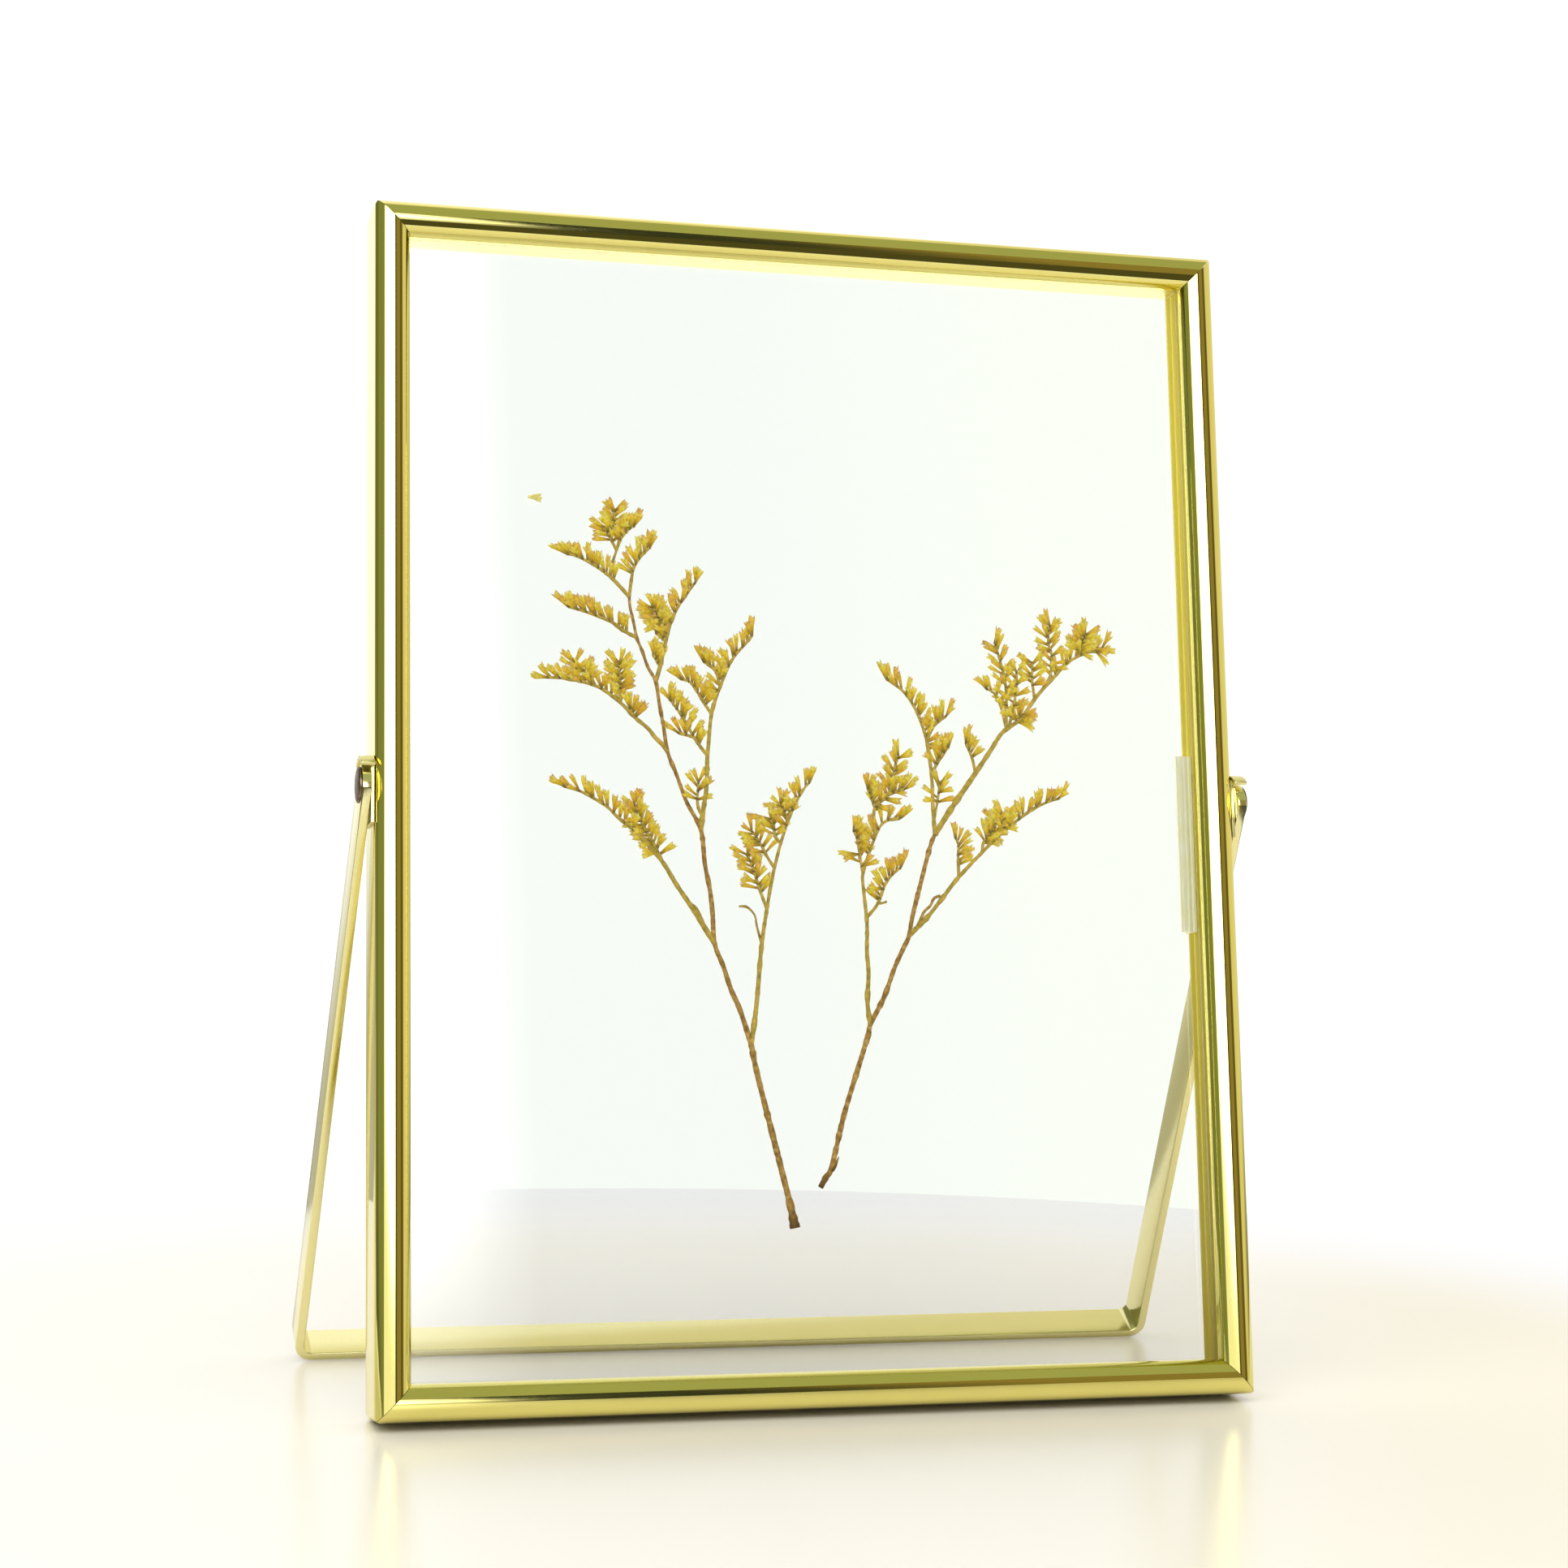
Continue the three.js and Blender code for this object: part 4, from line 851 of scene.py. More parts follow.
BRANCHES = {
    "left_b": [
        spray([[-11.8, 59.5], [-10.8, 66], [-9.7, 76.2], [-8.6, 82.7], [-7.9, 86.4], [-7.3, 89],
               [-6.2, 93], [-4.9, 96.8], [-3.3, 100.4], [-1.5, 103.2], [1, 105.5]], 0.75, 1, 8, 0.8),
        twig([[-9.7, 76.2], [-10.5, 79.5], [-10.8, 81.2], [-12.1, 82.6], [-13.5, 82.7]], 0.45, 0.35,
              0.5),
        spray([[-8.9, 82.3], [-9.8, 85.4], [-11.2, 89.8], [-12.3, 91.8], [-13.4, 93.3]], 0.5, 0, 9),
        spray([[-7.4, 89.2], [-8.7, 91.5], [-9.7, 93.5], [-11.1, 95.4], [-13.1, 96.1]], 0.5, 0, 7, 0.4),
        spray([[-6.4, 93.6], [-7.1, 94.8], [-7.4, 97], [-9.8, 98.8]], 0.45, 0, 6, 0.3),
        spray([[-4.9, 97], [-5.4, 99.1], [-6.4, 100.7], [-7.3, 102.1]], 0.45, 0, 5),
    ],
    "left_c": [
        spray([[-17.8, 76.4], [-20, 79.9], [-22, 83], [-24.2, 86.2], [-26.4, 89.8], [-28.7, 92.5],
               [-31.1, 95], [-33.9, 97.2], [-35.9, 99.1], [-38.6, 100.7], [-41.5, 102], [-45.3, 102.6]],
               0.85, -1, 12, 0.6),
        twig([[-18.6, 78.5], [-20.6, 81.9], [-21.2, 82.7], [-21.7, 83]], 0.5, 0.4, 0.6),
        spray([[-26.6, 90.5], [-28, 93], [-29.2, 95], [-30.8, 98.3], [-32, 101.7]], 0.6, 0, 14, 0.1),
    ],
    "left_d": [
        spray([[-19.9, 95.5], [-19.5, 98.3], [-18.8, 102.8], [-18.6, 107.6], [-18.4, 109.6],
               [-17.8, 114.9], [-16.8, 118.4], [-16.1, 120], [-14.8, 123.2], [-13.3, 125.6],
               [-11.2, 127.9], [-9.1, 130.8]], 0.75, 1, 10, 0.66),
        spray([[-19.9, 97.7], [-20.4, 99.9], [-20.2, 103.4], [-20.5, 105.7]], 0.45, 0, 4, 0.5),
        spray([[-18.7, 108.1], [-20.5, 110.6], [-22.4, 113.9], [-23.5, 115.6], [-25.2, 117.8],
               [-26.3, 119.2]], 0.5, -1, 10, 0.2),
        spray([[-20.9, 110.8], [-23, 111.7], [-25.2, 112]], 0.4, -1, 3, 0.5),
        spray([[-17.8, 115.1], [-18.9, 116.9], [-20.3, 119.1], [-21.7, 120.7], [-25.1, 121.2]], 0.5, -1,
               10, 0.2),
        spray([[-16.2, 119.8], [-17, 122.6], [-18.8, 124], [-20.8, 125.3]], 0.45, -1, 7, 0.2),
    ],
    "left_e": [
        spray([[-25.4, 108.5], [-26.1, 109.6], [-27.6, 111], [-28.7, 112.4], [-30.9, 114.2],
               [-33.2, 116.5], [-36.5, 118.9], [-39.3, 119.9], [-42.2, 120.4], [-44.9, 120.6],
               [-48.1, 120.4]], 0.7, -1, 14, 0.45),
        spray([[-38.5, 119.6], [-39.3, 121.4], [-39.8, 123.5]], 0.45, 0, 6),
        spray([[-32.9, 117.3], [-33.4, 120.1], [-33.6, 123], [-33.1, 125.7]], 0.45, 0, 9),
        spray([[-30.9, 114.2], [-31.9, 115.9], [-32.7, 117.2]], 0.4, -1, 6, 0.1),
        spray([[-41.1, 120.5], [-41.3, 123.4], [-41.9, 125.4]], 0.4, 0, 3, 0.6),
    ],
    "left_f": [
        spray([[-27.3, 120.4], [-26.5, 123.2], [-25.6, 126.8], [-24.7, 130.3], [-23.2, 133.5],
               [-21.2, 136.4], [-18.8, 139.5]], 0.65, 1, 11, 0.42),
        spray([[-25.9, 128.8], [-26.4, 130.8], [-27.9, 133.3], [-29.5, 134.4]], 0.45, 0, 9, 0.2),
        spray([[-26.7, 122.9], [-27.6, 124.8], [-28.8, 126.3]], 0.4, -1, 5),
        spray([[-26.2, 127.4], [-27.1, 128.7], [-28.5, 129.8]], 0.4, -1, 4),
    ],
    "left_g": [
        spray([[-30.5, 127.8], [-33, 129.1], [-34.7, 130.3], [-37.8, 131.5], [-40.9, 132.4],
               [-44.3, 133.2]], 0.6, -1, 14, 0.15),
    ],
    "left_h": [
        spray([[-31.7, 134.8], [-31.3, 137.7], [-30.9, 139.7], [-29.7, 141.7], [-28, 143.4],
               [-26, 144.5]], 0.5, 1, 9, 0.4),
    ],
    "left_i": [
        spray([[-31.7, 134.8], [-34.4, 137.6], [-36.9, 139.5], [-39.7, 141], [-42, 141.7],
               [-44.5, 141.4]], 0.6, -1, 13, 0.3),
        twig([[-34.9, 138.4], [-34.6, 140.3], [-33.8, 142.7]], 0.45, 0.45, 0.7),
        spray([[-33.8, 142.7], [-35, 145], [-36.8, 148.5]], 0.45, 0, 6, 0.35),
        spray([[-35, 145], [-34.3, 146.8], [-34, 149.4], [-34.1, 151.7]], 0.45, 0, 7, 0.2),
        spray([[-33.8, 142.7], [-33, 144.8], [-31.1, 146.8], [-28.5, 147.4]], 0.45, 1, 9, 0.3),
    ],
    "right_j": [
        spray([[9, 62.9], [8.6, 66.8], [8.9, 71.6], [8.7, 75.2], [8.8, 80.4], [8.3, 86.2], [8.3, 88.5],
               [9.7, 92.6], [11.3, 96.2], [12.7, 97.6], [15, 98], [17.3, 98.3]], 0.75, 1, 9, 0.76),
        spray([[8.2, 88.8], [7.7, 91.5], [7, 92.1], [6.3, 93.8]], 0.4, 0, 3),
        spray([[8.1, 90.8], [7.4, 94.5], [5.7, 97.7]], 0.45, -1, 7),
        spray([[10.3, 95], [10.6, 99.6], [12.8, 101.7], [13.9, 104.1], [14.4, 106.8], [15.9, 110.9]],
               0.55, 0, 12, 0.3),
        spray([[10.5, 100], [9.8, 102.3], [8.7, 105.2]], 0.4, -1, 7, 0.2),
        spray([[13.2, 101.7], [16, 103.1], [18.1, 102.4]], 0.4, 1, 5),
    ],
    "right_k": [
        spray([[8.8, 81], [10.8, 83.4], [12.1, 86.5], [13.3, 88.2], [15.3, 89.7], [17.1, 90]], 0.5, 1,
               9, 0.35),
        twig([[10.8, 83.4], [11.6, 83.5], [12.4, 83.8]], 0.35, 0.4, 0.6),
    ],
    "right_l": [
        spray([[16.2, 77.9], [17.8, 79.5], [19.6, 81.2], [22.3, 84.4], [25.1, 87.8], [29.6, 92.3],
               [33.2, 95.6], [37.7, 99.1], [40.6, 100.8], [43.5, 101.9], [46.4, 102.3]], 0.7, 1, 12,
               0.64),
        twig([[17.2, 79], [18.4, 80.9], [19, 82.1], [20.2, 83.2], [20.8, 84.4], [22, 84.9]], 0.45, 0.5,
              0.3),
        spray([[25.2, 88.1], [25.4, 91.7], [25.4, 94.1], [23.7, 96.7]], 0.5, -1, 7),
        spray([[29.6, 92.5], [30.2, 94.4], [32.2, 96.9], [31.4, 99.5]], 0.5, 0, 9),
        spray([[33.2, 95.6], [33.7, 97.9], [33.8, 101]], 0.45, 0, 6),
    ],
    "right_n": [
        spray([[21.3, 95.4], [21.1, 99.8], [21, 105.2], [20.5, 110], [19.8, 113.4], [18.5, 116.8],
               [16.5, 119.8], [14, 121.7], [11.2, 123]], 0.65, -1, 14, 0.5),
        spray([[20.5, 111.4], [21.6, 114.1], [23.8, 115.9], [26, 116.6]], 0.45, 1, 6, 0.35),
        spray([[21.1, 105.9], [22.5, 108.3], [24, 110.4], [25.9, 112.1]], 0.45, 1, 8),
        spray([[21.5, 97.4], [22, 101.5], [22.6, 104.6], [23.5, 106.3]], 0.4, 0, 4, 0.5),
    ],
    "right_o": [
        spray([[21.3, 95.4], [24.8, 100.5], [28.9, 106.1], [31.9, 110.3], [34.1, 113.4], [37.5, 115.9],
               [40.5, 119.8], [43.9, 123.4], [46.9, 126.3], [51, 128.1], [54.3, 127.4]], 0.95, 1, 8,
               0.78),
        spray([[28.7, 106.1], [28.4, 108.8], [27.3, 111.5], [26.5, 113.5]], 0.45, -1, 5, 0.5),
        spray([[34.2, 114.4], [33.6, 118.9], [32.2, 120.6], [29.3, 121.5]], 0.45, -1, 4, 0.6),
        spray([[34.5, 114.7], [35, 118.6], [34.8, 122.7], [33.8, 126.8], [32.5, 131.3]], 0.5, 0, 11,
               0.2),
        spray([[35.3, 114.8], [36.4, 118.6], [37, 122.8], [36.7, 126.3]], 0.45, 0, 7, 0.15),
        spray([[36.3, 115.2], [37.9, 116.6], [39.5, 116.3]], 0.4, 0, 5),
        spray([[40.1, 119.6], [39.8, 122.9], [39.9, 125.3], [38.9, 128.1]], 0.45, 0, 6, 0.35),
        spray([[41.3, 120.6], [43.2, 123.7], [43.6, 127.2], [43, 129.9], [43.9, 134.9]], 0.45, 0, 10,
               0.35),
        spray([[48.7, 127.2], [49.3, 129.9], [51.2, 133.1]], 0.45, 0, 12, 0.1),
        spray([[51, 128.1], [53, 128.9], [54.1, 129.4]], 0.4, 0, 3),
    ],
}

LOOSE_FLORET = [-48.7, 151.2]
LOOSE_FLORET_LENGTH = 2.0
LOOSE_FLORET_WIDTH = 1.5

TUBE_SIDES = 8
TUBE_STEP = 0.55
STALK_PRESSED = 0.66
KNOT_SPACING = 6
KNOT_LENGTH = 0.45
KNOT_SWELL = 0.3
UNEVEN = 0.07
CUT_LENGTH = 2.2
FLORET_SIDES = 8
FLORET_LEAN = np.radians([64, 36])
FLORET_LENGTHS = (2.5, 3.3)
FLORET_WIDTHS = (0.85, 1.25)
UPPER_SHORTER = 0.85
SECOND_ROW = 0.55
LAYER_STEP = 0.12
TIP_LENGTH = 2.1


def smooth_route(route):
    """A smooth line through the points of a route: cubic pieces whose slope at a point is half
    of the way from the point before it to the point after it, resampled at even steps."""
    points = np.array(route, float)
    before = np.vstack([2 * points[0] - points[1], points[:-1]])[:-1]
    after = np.vstack([points[1:], 2 * points[-1] - points[-2]])[1:]
    share = np.linspace(0, 1, 13)[:-1][:, None, None]
    p0, p1, p2, p3 = before, points[:-1], points[1:], after
    curve = 0.5 * (2 * p1 + (p2 - p0) * share + (2 * p0 - 5 * p1 + 4 * p2 - p3) * share ** 2
                   + (3 * p1 - p0 - 3 * p2 + p3) * share ** 3)
    line = np.vstack([curve.transpose(1, 0, 2).reshape(-1, 2), points[-1]])
    run = np.concatenate([[0], np.cumsum(np.linalg.norm(np.diff(line, axis=0), axis=1))])
    even = np.linspace(0, run[-1], max(4, round(run[-1] / TUBE_STEP) + 1))
    return np.stack([np.interp(even, run, line[:, 0]), np.interp(even, run, line[:, 1])], axis=-1)


def rooted(twigs):
    """Each twig as a smooth line that starts at the nearest point of those before it. A spray's
    line ends short of its tip, because its last floret reaches that far."""
    lines = []
    for part in twigs:
        route = list(part["route"])
        if lines:
            grown = np.vstack(lines)
            nearest = np.argmin(np.linalg.norm(grown - np.array(route[0]), axis=1))
            route[0] = grown[nearest].tolist()
        line = smooth_route(route)
        if part["florets"]:
            short = min(TIP_LENGTH / TUBE_STEP, 0.35 * len(line))
            line = line[:len(line) - round(short)]
        lines.append(line)
    return lines


def stalk(line, part, chance):
    """A tube along a line. Its section is an ellipse pressed to two thirds of its width, which
    narrows evenly and swells a little at random knots, and at the cut end of a stem."""
    count = len(line)
    ahead = np.gradient(line, axis=0)
    ahead /= np.linalg.norm(ahead, axis=1, keepdims=True)
    width = np.linspace(part["start"], part["end"], count)
    run = np.arange(count) * TUBE_STEP
    knots = chance.uniform(0, run[-1], max(1, int(run[-1] / KNOT_SPACING)))
    swell = np.exp(-((run[:, None] - knots) / KNOT_LENGTH) ** 2).sum(axis=1)
    club = part["club"] * np.exp(-(run / CUT_LENGTH) ** 2)
    width = width * (1 + club + KNOT_SWELL * np.minimum(swell, 1)
                     + UNEVEN * chance.standard_normal(count))
    angle = np.linspace(0, 2 * math.pi, TUBE_SIDES + 1)[:-1]
    sideways = np.stack([-ahead[:, 1], ahead[:, 0]], axis=-1)
    out = (width / 2)[:, None] * np.cos(angle)
    across = line[:, 0:1] + sideways[:, 0:1] * out
    height = line[:, 1:2] + sideways[:, 1:2] * out
    depth = STALK_PRESSED * (width / 2)[:, None] * np.sin(angle)
    return across, depth, height


# A floret from foot to mouth and back into its cup: share of the length, share of the width as a
# radius, and tone.
FLORET_PROFILE = np.array([
    [-0.08, 0.14, 0.0],
    [0.10, 0.20, 0.1],
    [0.34, 0.27, 0.35],
    [0.62, 0.38, 0.6],
    [0.86, 0.50, 0.85],
    [1.00, 0.46, 1.0],
    [0.90, 0.28, 0.8],
    [0.76, 0.05, 0.5],
])
PRESSED_SHARE = 0.42


def florets(places, angles, lengths, widths, depths, chance):
    """Many florets at once. One floret is a profile of distance along and radius carried round
    its own axis and pressed flat. Its mouth is wavy: the rim goes in and out three times round.
    It bends sideways with the square of the distance along."""
    count = len(places)
    angle = np.linspace(0, 2 * math.pi, FLORET_SIDES + 1)[:-1]
    along, radius, _ = FLORET_PROFILE.T
    phase = chance.uniform(0, 2 * math.pi, (count, 1, 1))
    lobes = np.cos(3 * angle + phase)
    mouth = np.clip((along - 0.6) / 0.4, 0, 1)[None, :, None]
    run = along[None, :, None] + 0.13 * mouth * lobes
    out = radius[None, :, None] * (1 + 0.18 * mouth * lobes)
    bend = chance.normal(0, 0.09, (count, 1, 1))
    run = run * lengths[:, None, None]
    sideways = out * widths[:, None, None] * np.cos(angle) + bend * run ** 2 / 3
    depth = depths[:, None, None] + PRESSED_SHARE * out * widths[:, None, None] * np.sin(angle)
    cos, sin = np.cos(angles)[:, None, None], np.sin(angles)[:, None, None]
    across = places[:, 0, None, None] + run * cos - sideways * sin
    height = places[:, 1, None, None] + run * sin + sideways * cos
    return across, depth, height


def floret_places(line, part, chance):
    """Points along the carrying part of a line, and the angle at which each floret leaves it.
    They lean out widely at first and lie closer to the twig near its tip. A second row, which
    lies over the first, stands between it and leans less evenly."""
    first = part["florets"]
    second = round(SECOND_ROW * first)
    share = np.concatenate([np.linspace(0, 1, first) if first > 1 else np.ones(1),
                            np.linspace(0.06, 0.97, second)])
    share = np.clip(share + chance.normal(0, 0.012, len(share)), 0, 1)
    spot = (part["begin"] + (1 - part["begin"]) * share) * (len(line) - 1)
    low = np.minimum(spot.astype(int), len(line) - 2)
    points = line[low] + (spot - low)[:, None] * (line[low + 1] - line[low])
    ahead = line[low + 1] - line[low]
    turn = np.where(np.arange(len(share)) % 2, 1, -1) if part["side"] == 0 else part["side"]
    lean = FLORET_LEAN[0] + (FLORET_LEAN[1] - FLORET_LEAN[0]) * share
    upper = np.arange(len(share)) >= first
    lean = lean + chance.normal(0, np.where(upper, 0.28, 0.1))
    return points, np.arctan2(ahead[:, 1], ahead[:, 0]) + turn * lean, upper


def sprig_piece(name, twigs, seed, stands_for):
    """One grown piece: the tubes of its twigs and all their florets in one mesh. Each point has
    a youth, for the colour of its twig, a tone and an age, for its floret, and a share by which
    a cut end has darkened it."""
    chance = np.random.default_rng(seed)
    points, faces, finish = [], [], []
    values = {"youth": [], "tone": [], "age": [], "cut": []}
    total = 0

    def note(count, **given):
        """Keeps the values of some more points, nought where none is given."""
        for label, kept in values.items():
            kept.append(np.broadcast_to(given.get(label, 0.0), count))

    for line, part in zip(rooted(twigs), twigs):
        shape = place(*[value * MM for value in (stalk(line, part, chance))])
        shape = shape + SPRIG_DEPTH * np.array(BACK)
        rows, columns = shape.shape[:2]
        made = tube_faces(rows, columns, total)
        faces += made
        finish += [0] * len(made)
        points.append(shape.reshape(-1, 3))
        dark = np.exp(-(np.arange(rows) * TUBE_STEP / CUT_LENGTH) ** 2) * (part["youth"] == 0)
        note(rows * columns, youth=part["youth"], cut=np.repeat(dark, columns))
        total += rows * columns
        if not part["florets"]:
            continue
        spots, angles, upper = floret_places(line, part, chance)
        count = len(spots)
        lengths = chance.uniform(*FLORET_LENGTHS, count) * np.where(upper, UPPER_SHORTER, 1)
        depths = np.where(upper, -LAYER_STEP, LAYER_STEP) + chance.uniform(-0.03, 0.03, count)
        widths = chance.uniform(*FLORET_WIDTHS, count)
        shape = florets(spots, angles, lengths, widths, depths, chance)
        shape = place(*[value * MM for value in shape]) + SPRIG_DEPTH * np.array(BACK)
        rows = len(FLORET_PROFILE)
        each = rows * FLORET_SIDES
        for index in range(count):
            made = tube_faces(rows, FLORET_SIDES, total + index * each)
            faces += made
            finish += [1] * len(made)
        points.append(shape.reshape(-1, 3))
        note(count * each, youth=1.0, age=np.repeat(chance.beta(0.8, 1.6, count), each),
             tone=np.tile(np.repeat(FLORET_PROFILE[:, 2], FLORET_SIDES), count))
        total += count * each
    piece = new_piece(name, np.vstack(points), faces, [
        material_of("dried_stem_pressed", dried_stem_bark),
        material_of("dried_floret_pressed", dried_floret_petal),
    ], FRAME_BODY, stands_for, 60)
    piece.data.polygons.foreach_set("material_index", finish)
    for label, kept in values.items():
        add_values(piece, label, np.concatenate(kept))


class FLOWERFRAME_OT_stems(bpy.types.Operator):
    """Builds the main stem of each pressed sprig"""

    bl_idname = "flower_frame.stems"
    bl_label = "Stems"

    def execute(self, context):
        for seed, (side, twigs) in enumerate(STEMS.items()):
            nodes = [name for name in frame["nodes"] if name.startswith(f"sprig_{side}_stem")]
            sprig_piece(f"stem_{side}", twigs, seed, nodes)
        return {"FINISHED"}


class FLOWERFRAME_OT_branches(bpy.types.Operator):
    """Builds the branches of both sprigs with their rows of florets"""

    bl_idname = "flower_frame.branches"
    bl_label = "Branches"

    def execute(self, context):
        for name, twigs in BRANCHES.items():
            side, letter = name.split("_")
            sprig_piece(f"branch_{name}", twigs, ord(letter),
                        [f"sprig_{side}_branch_{letter}"])
        return {"FINISHED"}


class FLOWERFRAME_OT_loose_floret(bpy.types.Operator):
    """Builds the single floret that has come loose between the panes"""

    bl_idname = "flower_frame.loose_floret"
    bl_label = "Loose floret"

    def execute(self, context):
        chance = np.random.default_rng(5)
        shape = florets(np.array([LOOSE_FLORET]), np.zeros(1), np.array([LOOSE_FLORET_LENGTH]),
                        np.array([LOOSE_FLORET_WIDTH]), np.zeros(1), chance)
        points = place(*[value * MM for value in shape]) + SPRIG_DEPTH * np.array(BACK)
        piece = new_piece("fallen_floret", points, tube_faces(len(FLORET_PROFILE), FLORET_SIDES),
                          [material_of("dried_floret_pressed", dried_floret_petal)], FRAME_BODY,
                          ["loose_floret"], 60)
        count = len(piece.data.vertices)
        add_values(piece, "tone", np.full(count, 1.0))
        add_values(piece, "age", np.zeros(count))
        return {"FINISHED"}


# ---------------------------------------------------------------- stage

CAMERA_PLACE = (-144.84 * MM, -515.94 * MM, 100.19 * MM)
CAMERA_TURN = (90.352, -1.161, -15.607)
FLOOR_RADIUS = 0.26
FLOOR_STEPS = 96
FLOOR_FADE = (0.15, 0.25)
SOFTBOX_PLACE = (-0.35, -0.55, 0.85)
SOFTBOX_AIM = (0, 0, 0.08)
SOFTBOX_SIZE = (0.9, 0.6)
SOFTBOX_POWER = 6

# What shiny surfaces reflect, by compass angle in degrees from straight in front, turning to the
# right: dark walls at both sides of a broad window, and a white wall behind.
WALLS = [
    (-180, "#ffffff"), (-153, "#ffffff"), (-149, "#6c6f4a"), (-112, "#6c6f4a"),
    (-100, "#7f8860"), (-62, "#7f8860"), (-58, "#ffffff"), (9, "#ffffff"),
    (11, "#2e3330"), (16, "#3a3d33"), (21, "#8a7c4e"), (42, "#8f8152"), (48, "#5d5330"),
    (60, "#6b6038"), (66, "#dcd5b4"), (152, "#e6e0c6"), (157, "#ffffff"), (180, "#ffffff"),
]
WINDOW_ACROSS = (-55, 9.5)
WINDOW_UP = (7.5, 32)
WINDOW_SOFT_ACROSS = 4.0
WINDOW_SOFT_UP = 0.03
WINDOW_STRENGTH = 5.5
CEILING = "#a2a983"
BELOW_FRONT = "#4c4a33"
BELOW_BACK = "#b3b1a2"


def between(tree, value, low, high, soft):
    """One where a value lies between two limits, with a soft step at each of them."""
    rise = add_node(tree, "MapRange", {
        "Value": value, "From Min": low - soft,
        "From Max": low + soft}, interpolation_type="SMOOTHSTEP")
    fall = add_node(tree, "MapRange", {
        "Value": value, "From Min": high - soft, "From Max": high + soft, "To Min": 1.0,
        "To Max": 0.0}, interpolation_type="SMOOTHSTEP")
    both = add_node(tree, "Math", {
        0: rise.outputs["Result"], 1: fall.outputs["Result"]}, operation="MULTIPLY")
    return both.outputs[0]


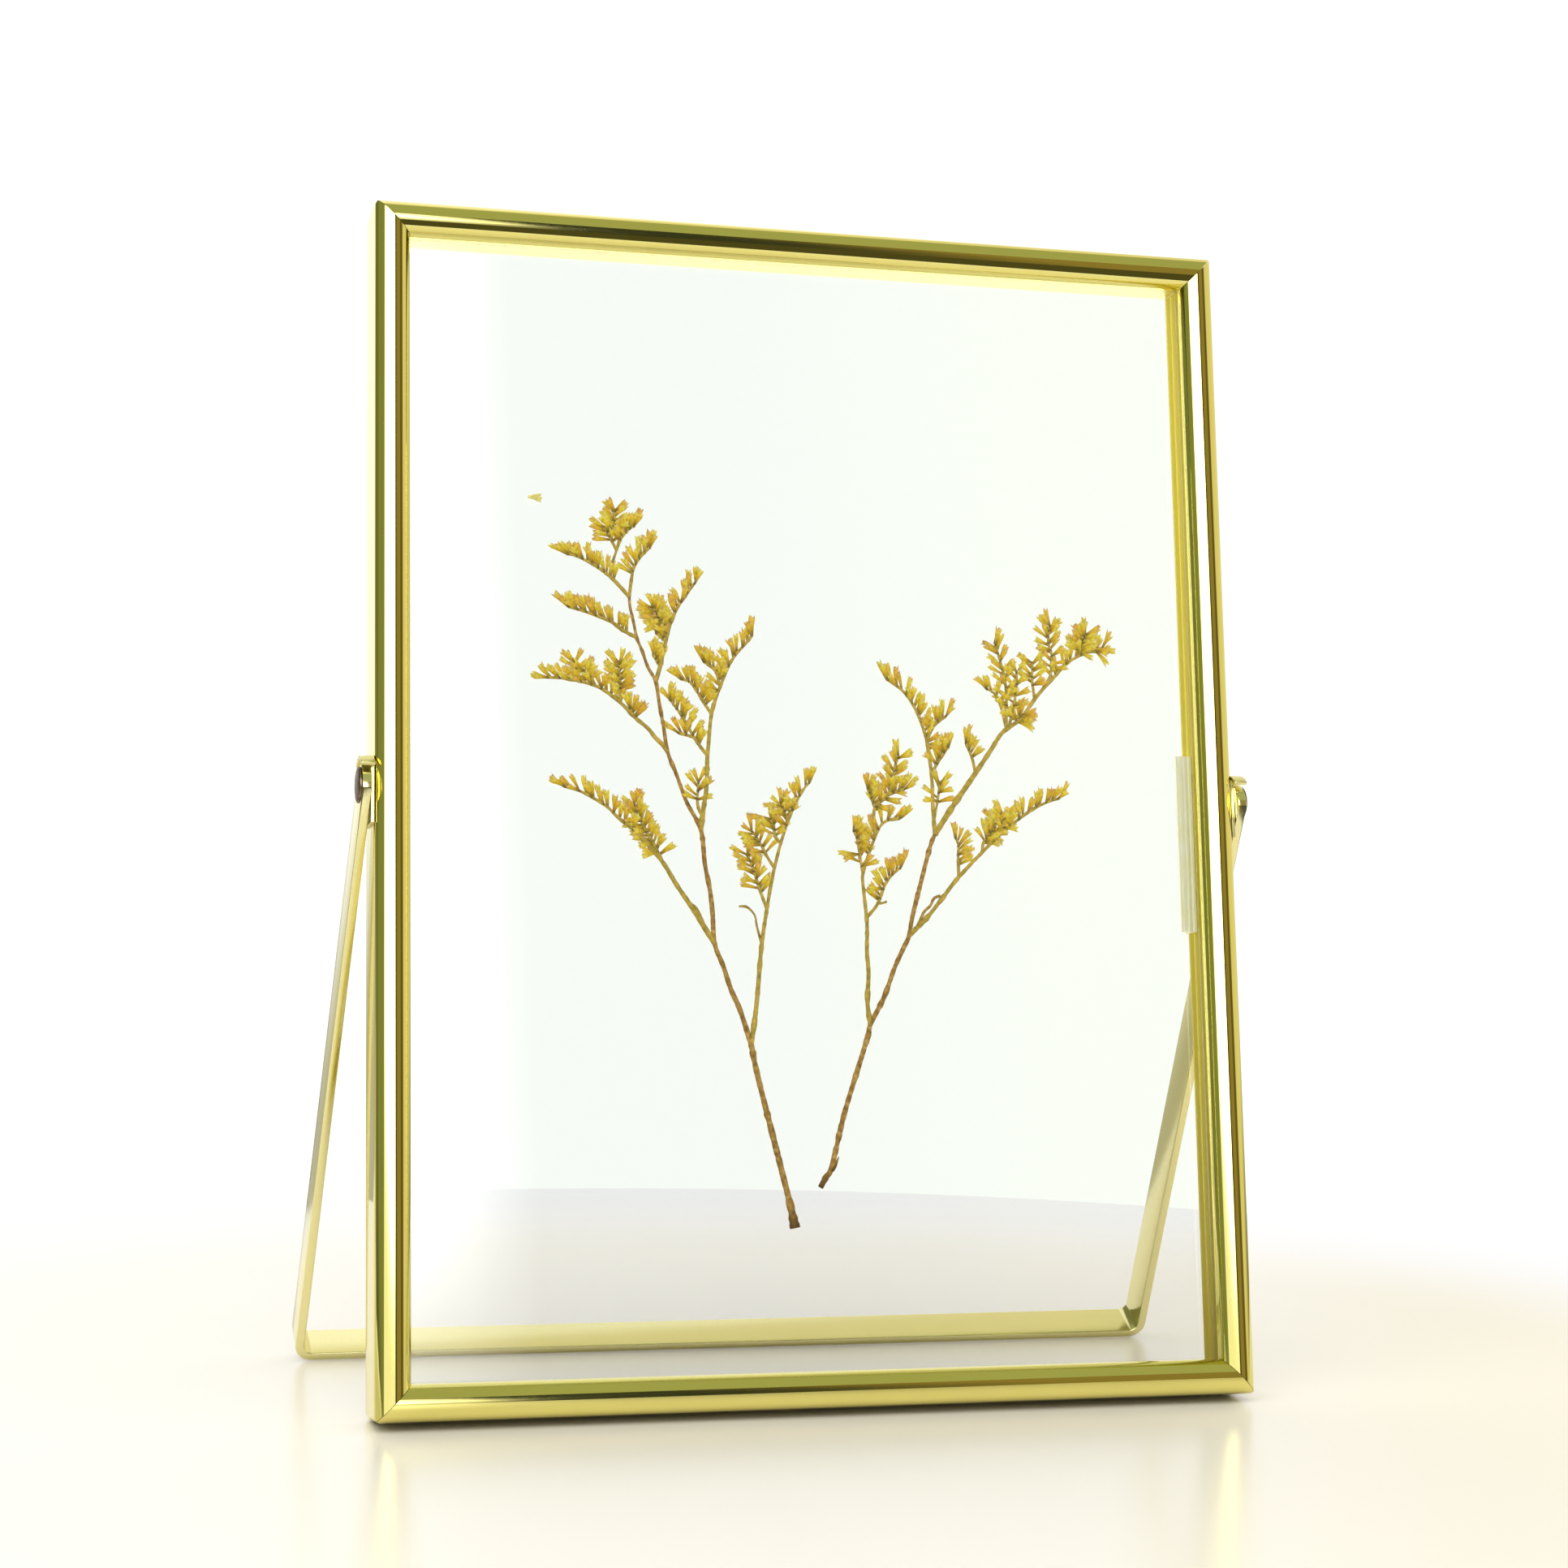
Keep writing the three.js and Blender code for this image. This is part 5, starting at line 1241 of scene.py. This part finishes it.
def surround_world(settings):
    """A soft room. Surfaces that scatter light are lit evenly from all sides, the view past the
    object is plain white, and polished metal and glass mirror the room: a broad window in front
    to the left, darker walls beside it, a grey ceiling and a white wall behind."""
    world = bpy.data.worlds.new("soft_room")
    bpy.context.scene.world = world
    world.cycles.sampling_method = "NONE"
    world.use_nodes = True
    tree = world.node_tree
    tree.nodes.clear()
    output = add_node(tree, "OutputWorld")
    look = add_node(tree, "TexCoord").outputs["Generated"]
    parts = add_node(tree, "SeparateXYZ", {0: look})
    rise = parts.outputs["Z"]
    front = add_node(tree, "Math", {0: parts.outputs["Y"], 1: -1.0}, operation="MULTIPLY")
    compass = add_node(tree, "Math", {0: parts.outputs["X"], 1: front.outputs[0]}, operation="ARCTAN2")
    degrees = add_node(tree, "Math", {0: compass.outputs[0]}, operation="DEGREES")
    turn = add_node(tree, "MapRange", {
        "Value": degrees.outputs[0], "From Min": -180.0, "From Max": 180.0})
    walls = add_node(tree, "ValToRGB", {"Fac": turn.outputs["Result"]})
    set_stops(walls, [((angle + 180) / 360, linear(colour)) for angle, colour in WALLS])
    aside = add_node(tree, "Math", {0: degrees.outputs[0]}, operation="ABSOLUTE")
    behind = add_node(tree, "MapRange", {
        "Value": aside.outputs[0], "From Min": 115.0,
        "From Max": 130.0}, interpolation_type="SMOOTHSTEP")
    below = add_node(tree, "Mix", {
        "Factor": behind.outputs["Result"], 6: linear(BELOW_FRONT),
        7: linear(BELOW_BACK)}, data_type="RGBA")
    horizon = add_node(tree, "MapRange", {
        "Value": rise, "From Min": -0.10, "From Max": 0.02}, interpolation_type="SMOOTHSTEP")
    room = add_node(tree, "Mix", {
        "Factor": horizon.outputs["Result"], 6: below.outputs[2],
        7: walls.outputs["Color"]}, data_type="RGBA")
    top = add_node(tree, "MapRange", {
        "Value": behind.outputs["Result"], "To Min": 0.56, "To Max": 0.97})
    over = add_node(tree, "Math", {0: rise, 1: top.outputs["Result"]}, operation="SUBTRACT")
    ceiling = add_node(tree, "MapRange", {
        "Value": over.outputs[0], "From Min": -0.02,
        "From Max": 0.02}, interpolation_type="SMOOTHSTEP")
    covered = add_node(tree, "Mix", {
        "Factor": ceiling.outputs["Result"], 6: room.outputs[2],
        7: linear(CEILING)}, data_type="RGBA")
    across = between(tree, degrees.outputs[0], *WINDOW_ACROSS, WINDOW_SOFT_ACROSS)
    up = between(tree, rise, *[math.sin(math.radians(angle)) for angle in WINDOW_UP], WINDOW_SOFT_UP)
    pane = add_node(tree, "Math", {0: across, 1: up}, operation="MULTIPLY")
    low_back = add_node(tree, "MapRange", {
        "Value": rise, "From Min": -0.38, "From Max": -0.30, "To Min": 1.0,
        "To Max": 0.0}, interpolation_type="SMOOTHSTEP")
    floor_glow = add_node(tree, "Math", {
        0: low_back.outputs["Result"], 1: behind.outputs["Result"]}, operation="MULTIPLY")
    bright = add_node(tree, "Math", {0: pane.outputs[0], 1: floor_glow.outputs[0]}, operation="MAXIMUM")
    strength = add_node(tree, "MapRange", {
        "Value": bright.outputs[0], "To Min": settings.surround, "To Max": WINDOW_STRENGTH})
    mirrored = add_node(tree, "Background", {
        "Color": covered.outputs[2], "Strength": strength.outputs["Result"]})
    plain = add_node(tree, "Background", {"Color": linear("#fbfffa"), "Strength": 1.16})
    soft = add_node(tree, "Background", {"Color": linear("#fffdf9"), "Strength": settings.soft_light})
    path = add_node(tree, "LightPath")
    shiny = add_node(tree, "Math", {0: path.outputs["Glossy Depth"], 1: 0.5}, operation="GREATER_THAN")
    scattered = add_node(tree, "Math", {
        0: path.outputs["Diffuse Depth"], 1: 0.5}, operation="GREATER_THAN")
    seen = add_node(tree, "MixShader", {
        0: shiny.outputs[0], 1: plain.outputs[0], 2: mirrored.outputs[0]})
    all_light = add_node(tree, "MixShader", {
        0: scattered.outputs[0], 1: seen.outputs[0], 2: soft.outputs[0]})
    tree.links.new(all_light.outputs[0], output.inputs["Surface"])


class FLOWERFRAME_OT_stage(bpy.types.Operator):
    """Builds the pale floor, the soft light and the camera"""

    bl_idname = "flower_frame.stage"
    bl_label = "Stage"

    def execute(self, context):
        settings = context.scene.flower_frame_stage
        angle = np.linspace(0, 2 * math.pi, FLOOR_STEPS + 1)[:-1]
        rim = FLOOR_RADIUS * np.stack([np.cos(angle), np.sin(angle), 0 * angle], axis=-1)
        mesh = bpy.data.meshes.new("tabletop")
        mesh.from_pydata(rim.tolist(), [], [list(range(len(rim)))])
        mesh.materials.append(pale_tabletop())
        floor = bpy.data.objects.new("tabletop", mesh)
        context.scene.collection.objects.link(floor)
        surround_world(settings)

        lamp = bpy.data.lights.new("overhead_softbox", "AREA")
        lamp.shape = "RECTANGLE"
        lamp.size, lamp.size_y = SOFTBOX_SIZE
        lamp.energy = SOFTBOX_POWER
        softbox = bpy.data.objects.new("overhead_softbox", lamp)
        softbox.location = SOFTBOX_PLACE
        aim = Vector(SOFTBOX_AIM) - softbox.location
        softbox.rotation_euler = aim.to_track_quat("-Z", "Y").to_euler()
        softbox.visible_glossy = False
        softbox.visible_camera = False
        softbox.visible_transmission = False
        context.scene.collection.objects.link(softbox)

        lens = bpy.data.cameras.new("camera")
        lens.lens = settings.lens
        lens.sensor_width = 36
        lens.clip_start, lens.clip_end = 0.01, 50
        camera = bpy.data.objects.new("camera", lens)
        camera.location = CAMERA_PLACE
        camera.rotation_euler = [math.radians(angle) for angle in CAMERA_TURN]
        context.scene.collection.objects.link(camera)
        context.scene.camera = camera
        context.scene.view_settings.view_transform = "Standard"
        return {"FINISHED"}


# ---------------------------------------------------------------- panel and run

OPERATORS = (
    FLOWERFRAME_OT_members,
    FLOWERFRAME_OT_panes,
    FLOWERFRAME_OT_clip,
    FLOWERFRAME_OT_hinges,
    FLOWERFRAME_OT_stand,
    FLOWERFRAME_OT_stems,
    FLOWERFRAME_OT_branches,
    FLOWERFRAME_OT_loose_floret,
    FLOWERFRAME_OT_stage,
)


class FLOWERFRAME_PT_sidebar(bpy.types.Panel):
    """Lists the steps that build the flower frame"""

    bl_idname = "FLOWERFRAME_PT_sidebar"
    bl_label = "Pressed Flower Frame"
    bl_space_type = "VIEW_3D"
    bl_region_type = "UI"
    bl_category = "Flower Frame"

    def draw(self, context):
        for step in OPERATORS:
            self.layout.operator(step.bl_idname)


GROUPS = {
    "flower_frame_sizes": FlowerFrameSizes,
    "flower_frame_finishes": FlowerFrameFinishes,
    "flower_frame_stage": FlowerFrameStage,
}


def register():
    """Makes the settings, the operators and the panel known to Blender."""
    for name, group in GROUPS.items():
        bpy.utils.register_class(group)
        setattr(bpy.types.Scene, name, bpy.props.PointerProperty(type=group))
    for step in (*OPERATORS, FLOWERFRAME_PT_sidebar):
        bpy.utils.register_class(step)


def unregister():
    """Takes them away again."""
    for step in reversed((*OPERATORS, FLOWERFRAME_PT_sidebar)):
        bpy.utils.unregister_class(step)
    for name, group in GROUPS.items():
        delattr(bpy.types.Scene, name)
        bpy.utils.unregister_class(group)


def main():
    """Builds every piece in order."""
    register()
    bpy.ops.flower_frame.members()
    bpy.ops.flower_frame.panes()
    bpy.ops.flower_frame.clip()
    bpy.ops.flower_frame.hinges()
    bpy.ops.flower_frame.stand()
    bpy.ops.flower_frame.stems()
    bpy.ops.flower_frame.branches()
    bpy.ops.flower_frame.loose_floret()
    bpy.ops.flower_frame.stage()


if __name__ == "__main__":
    main()
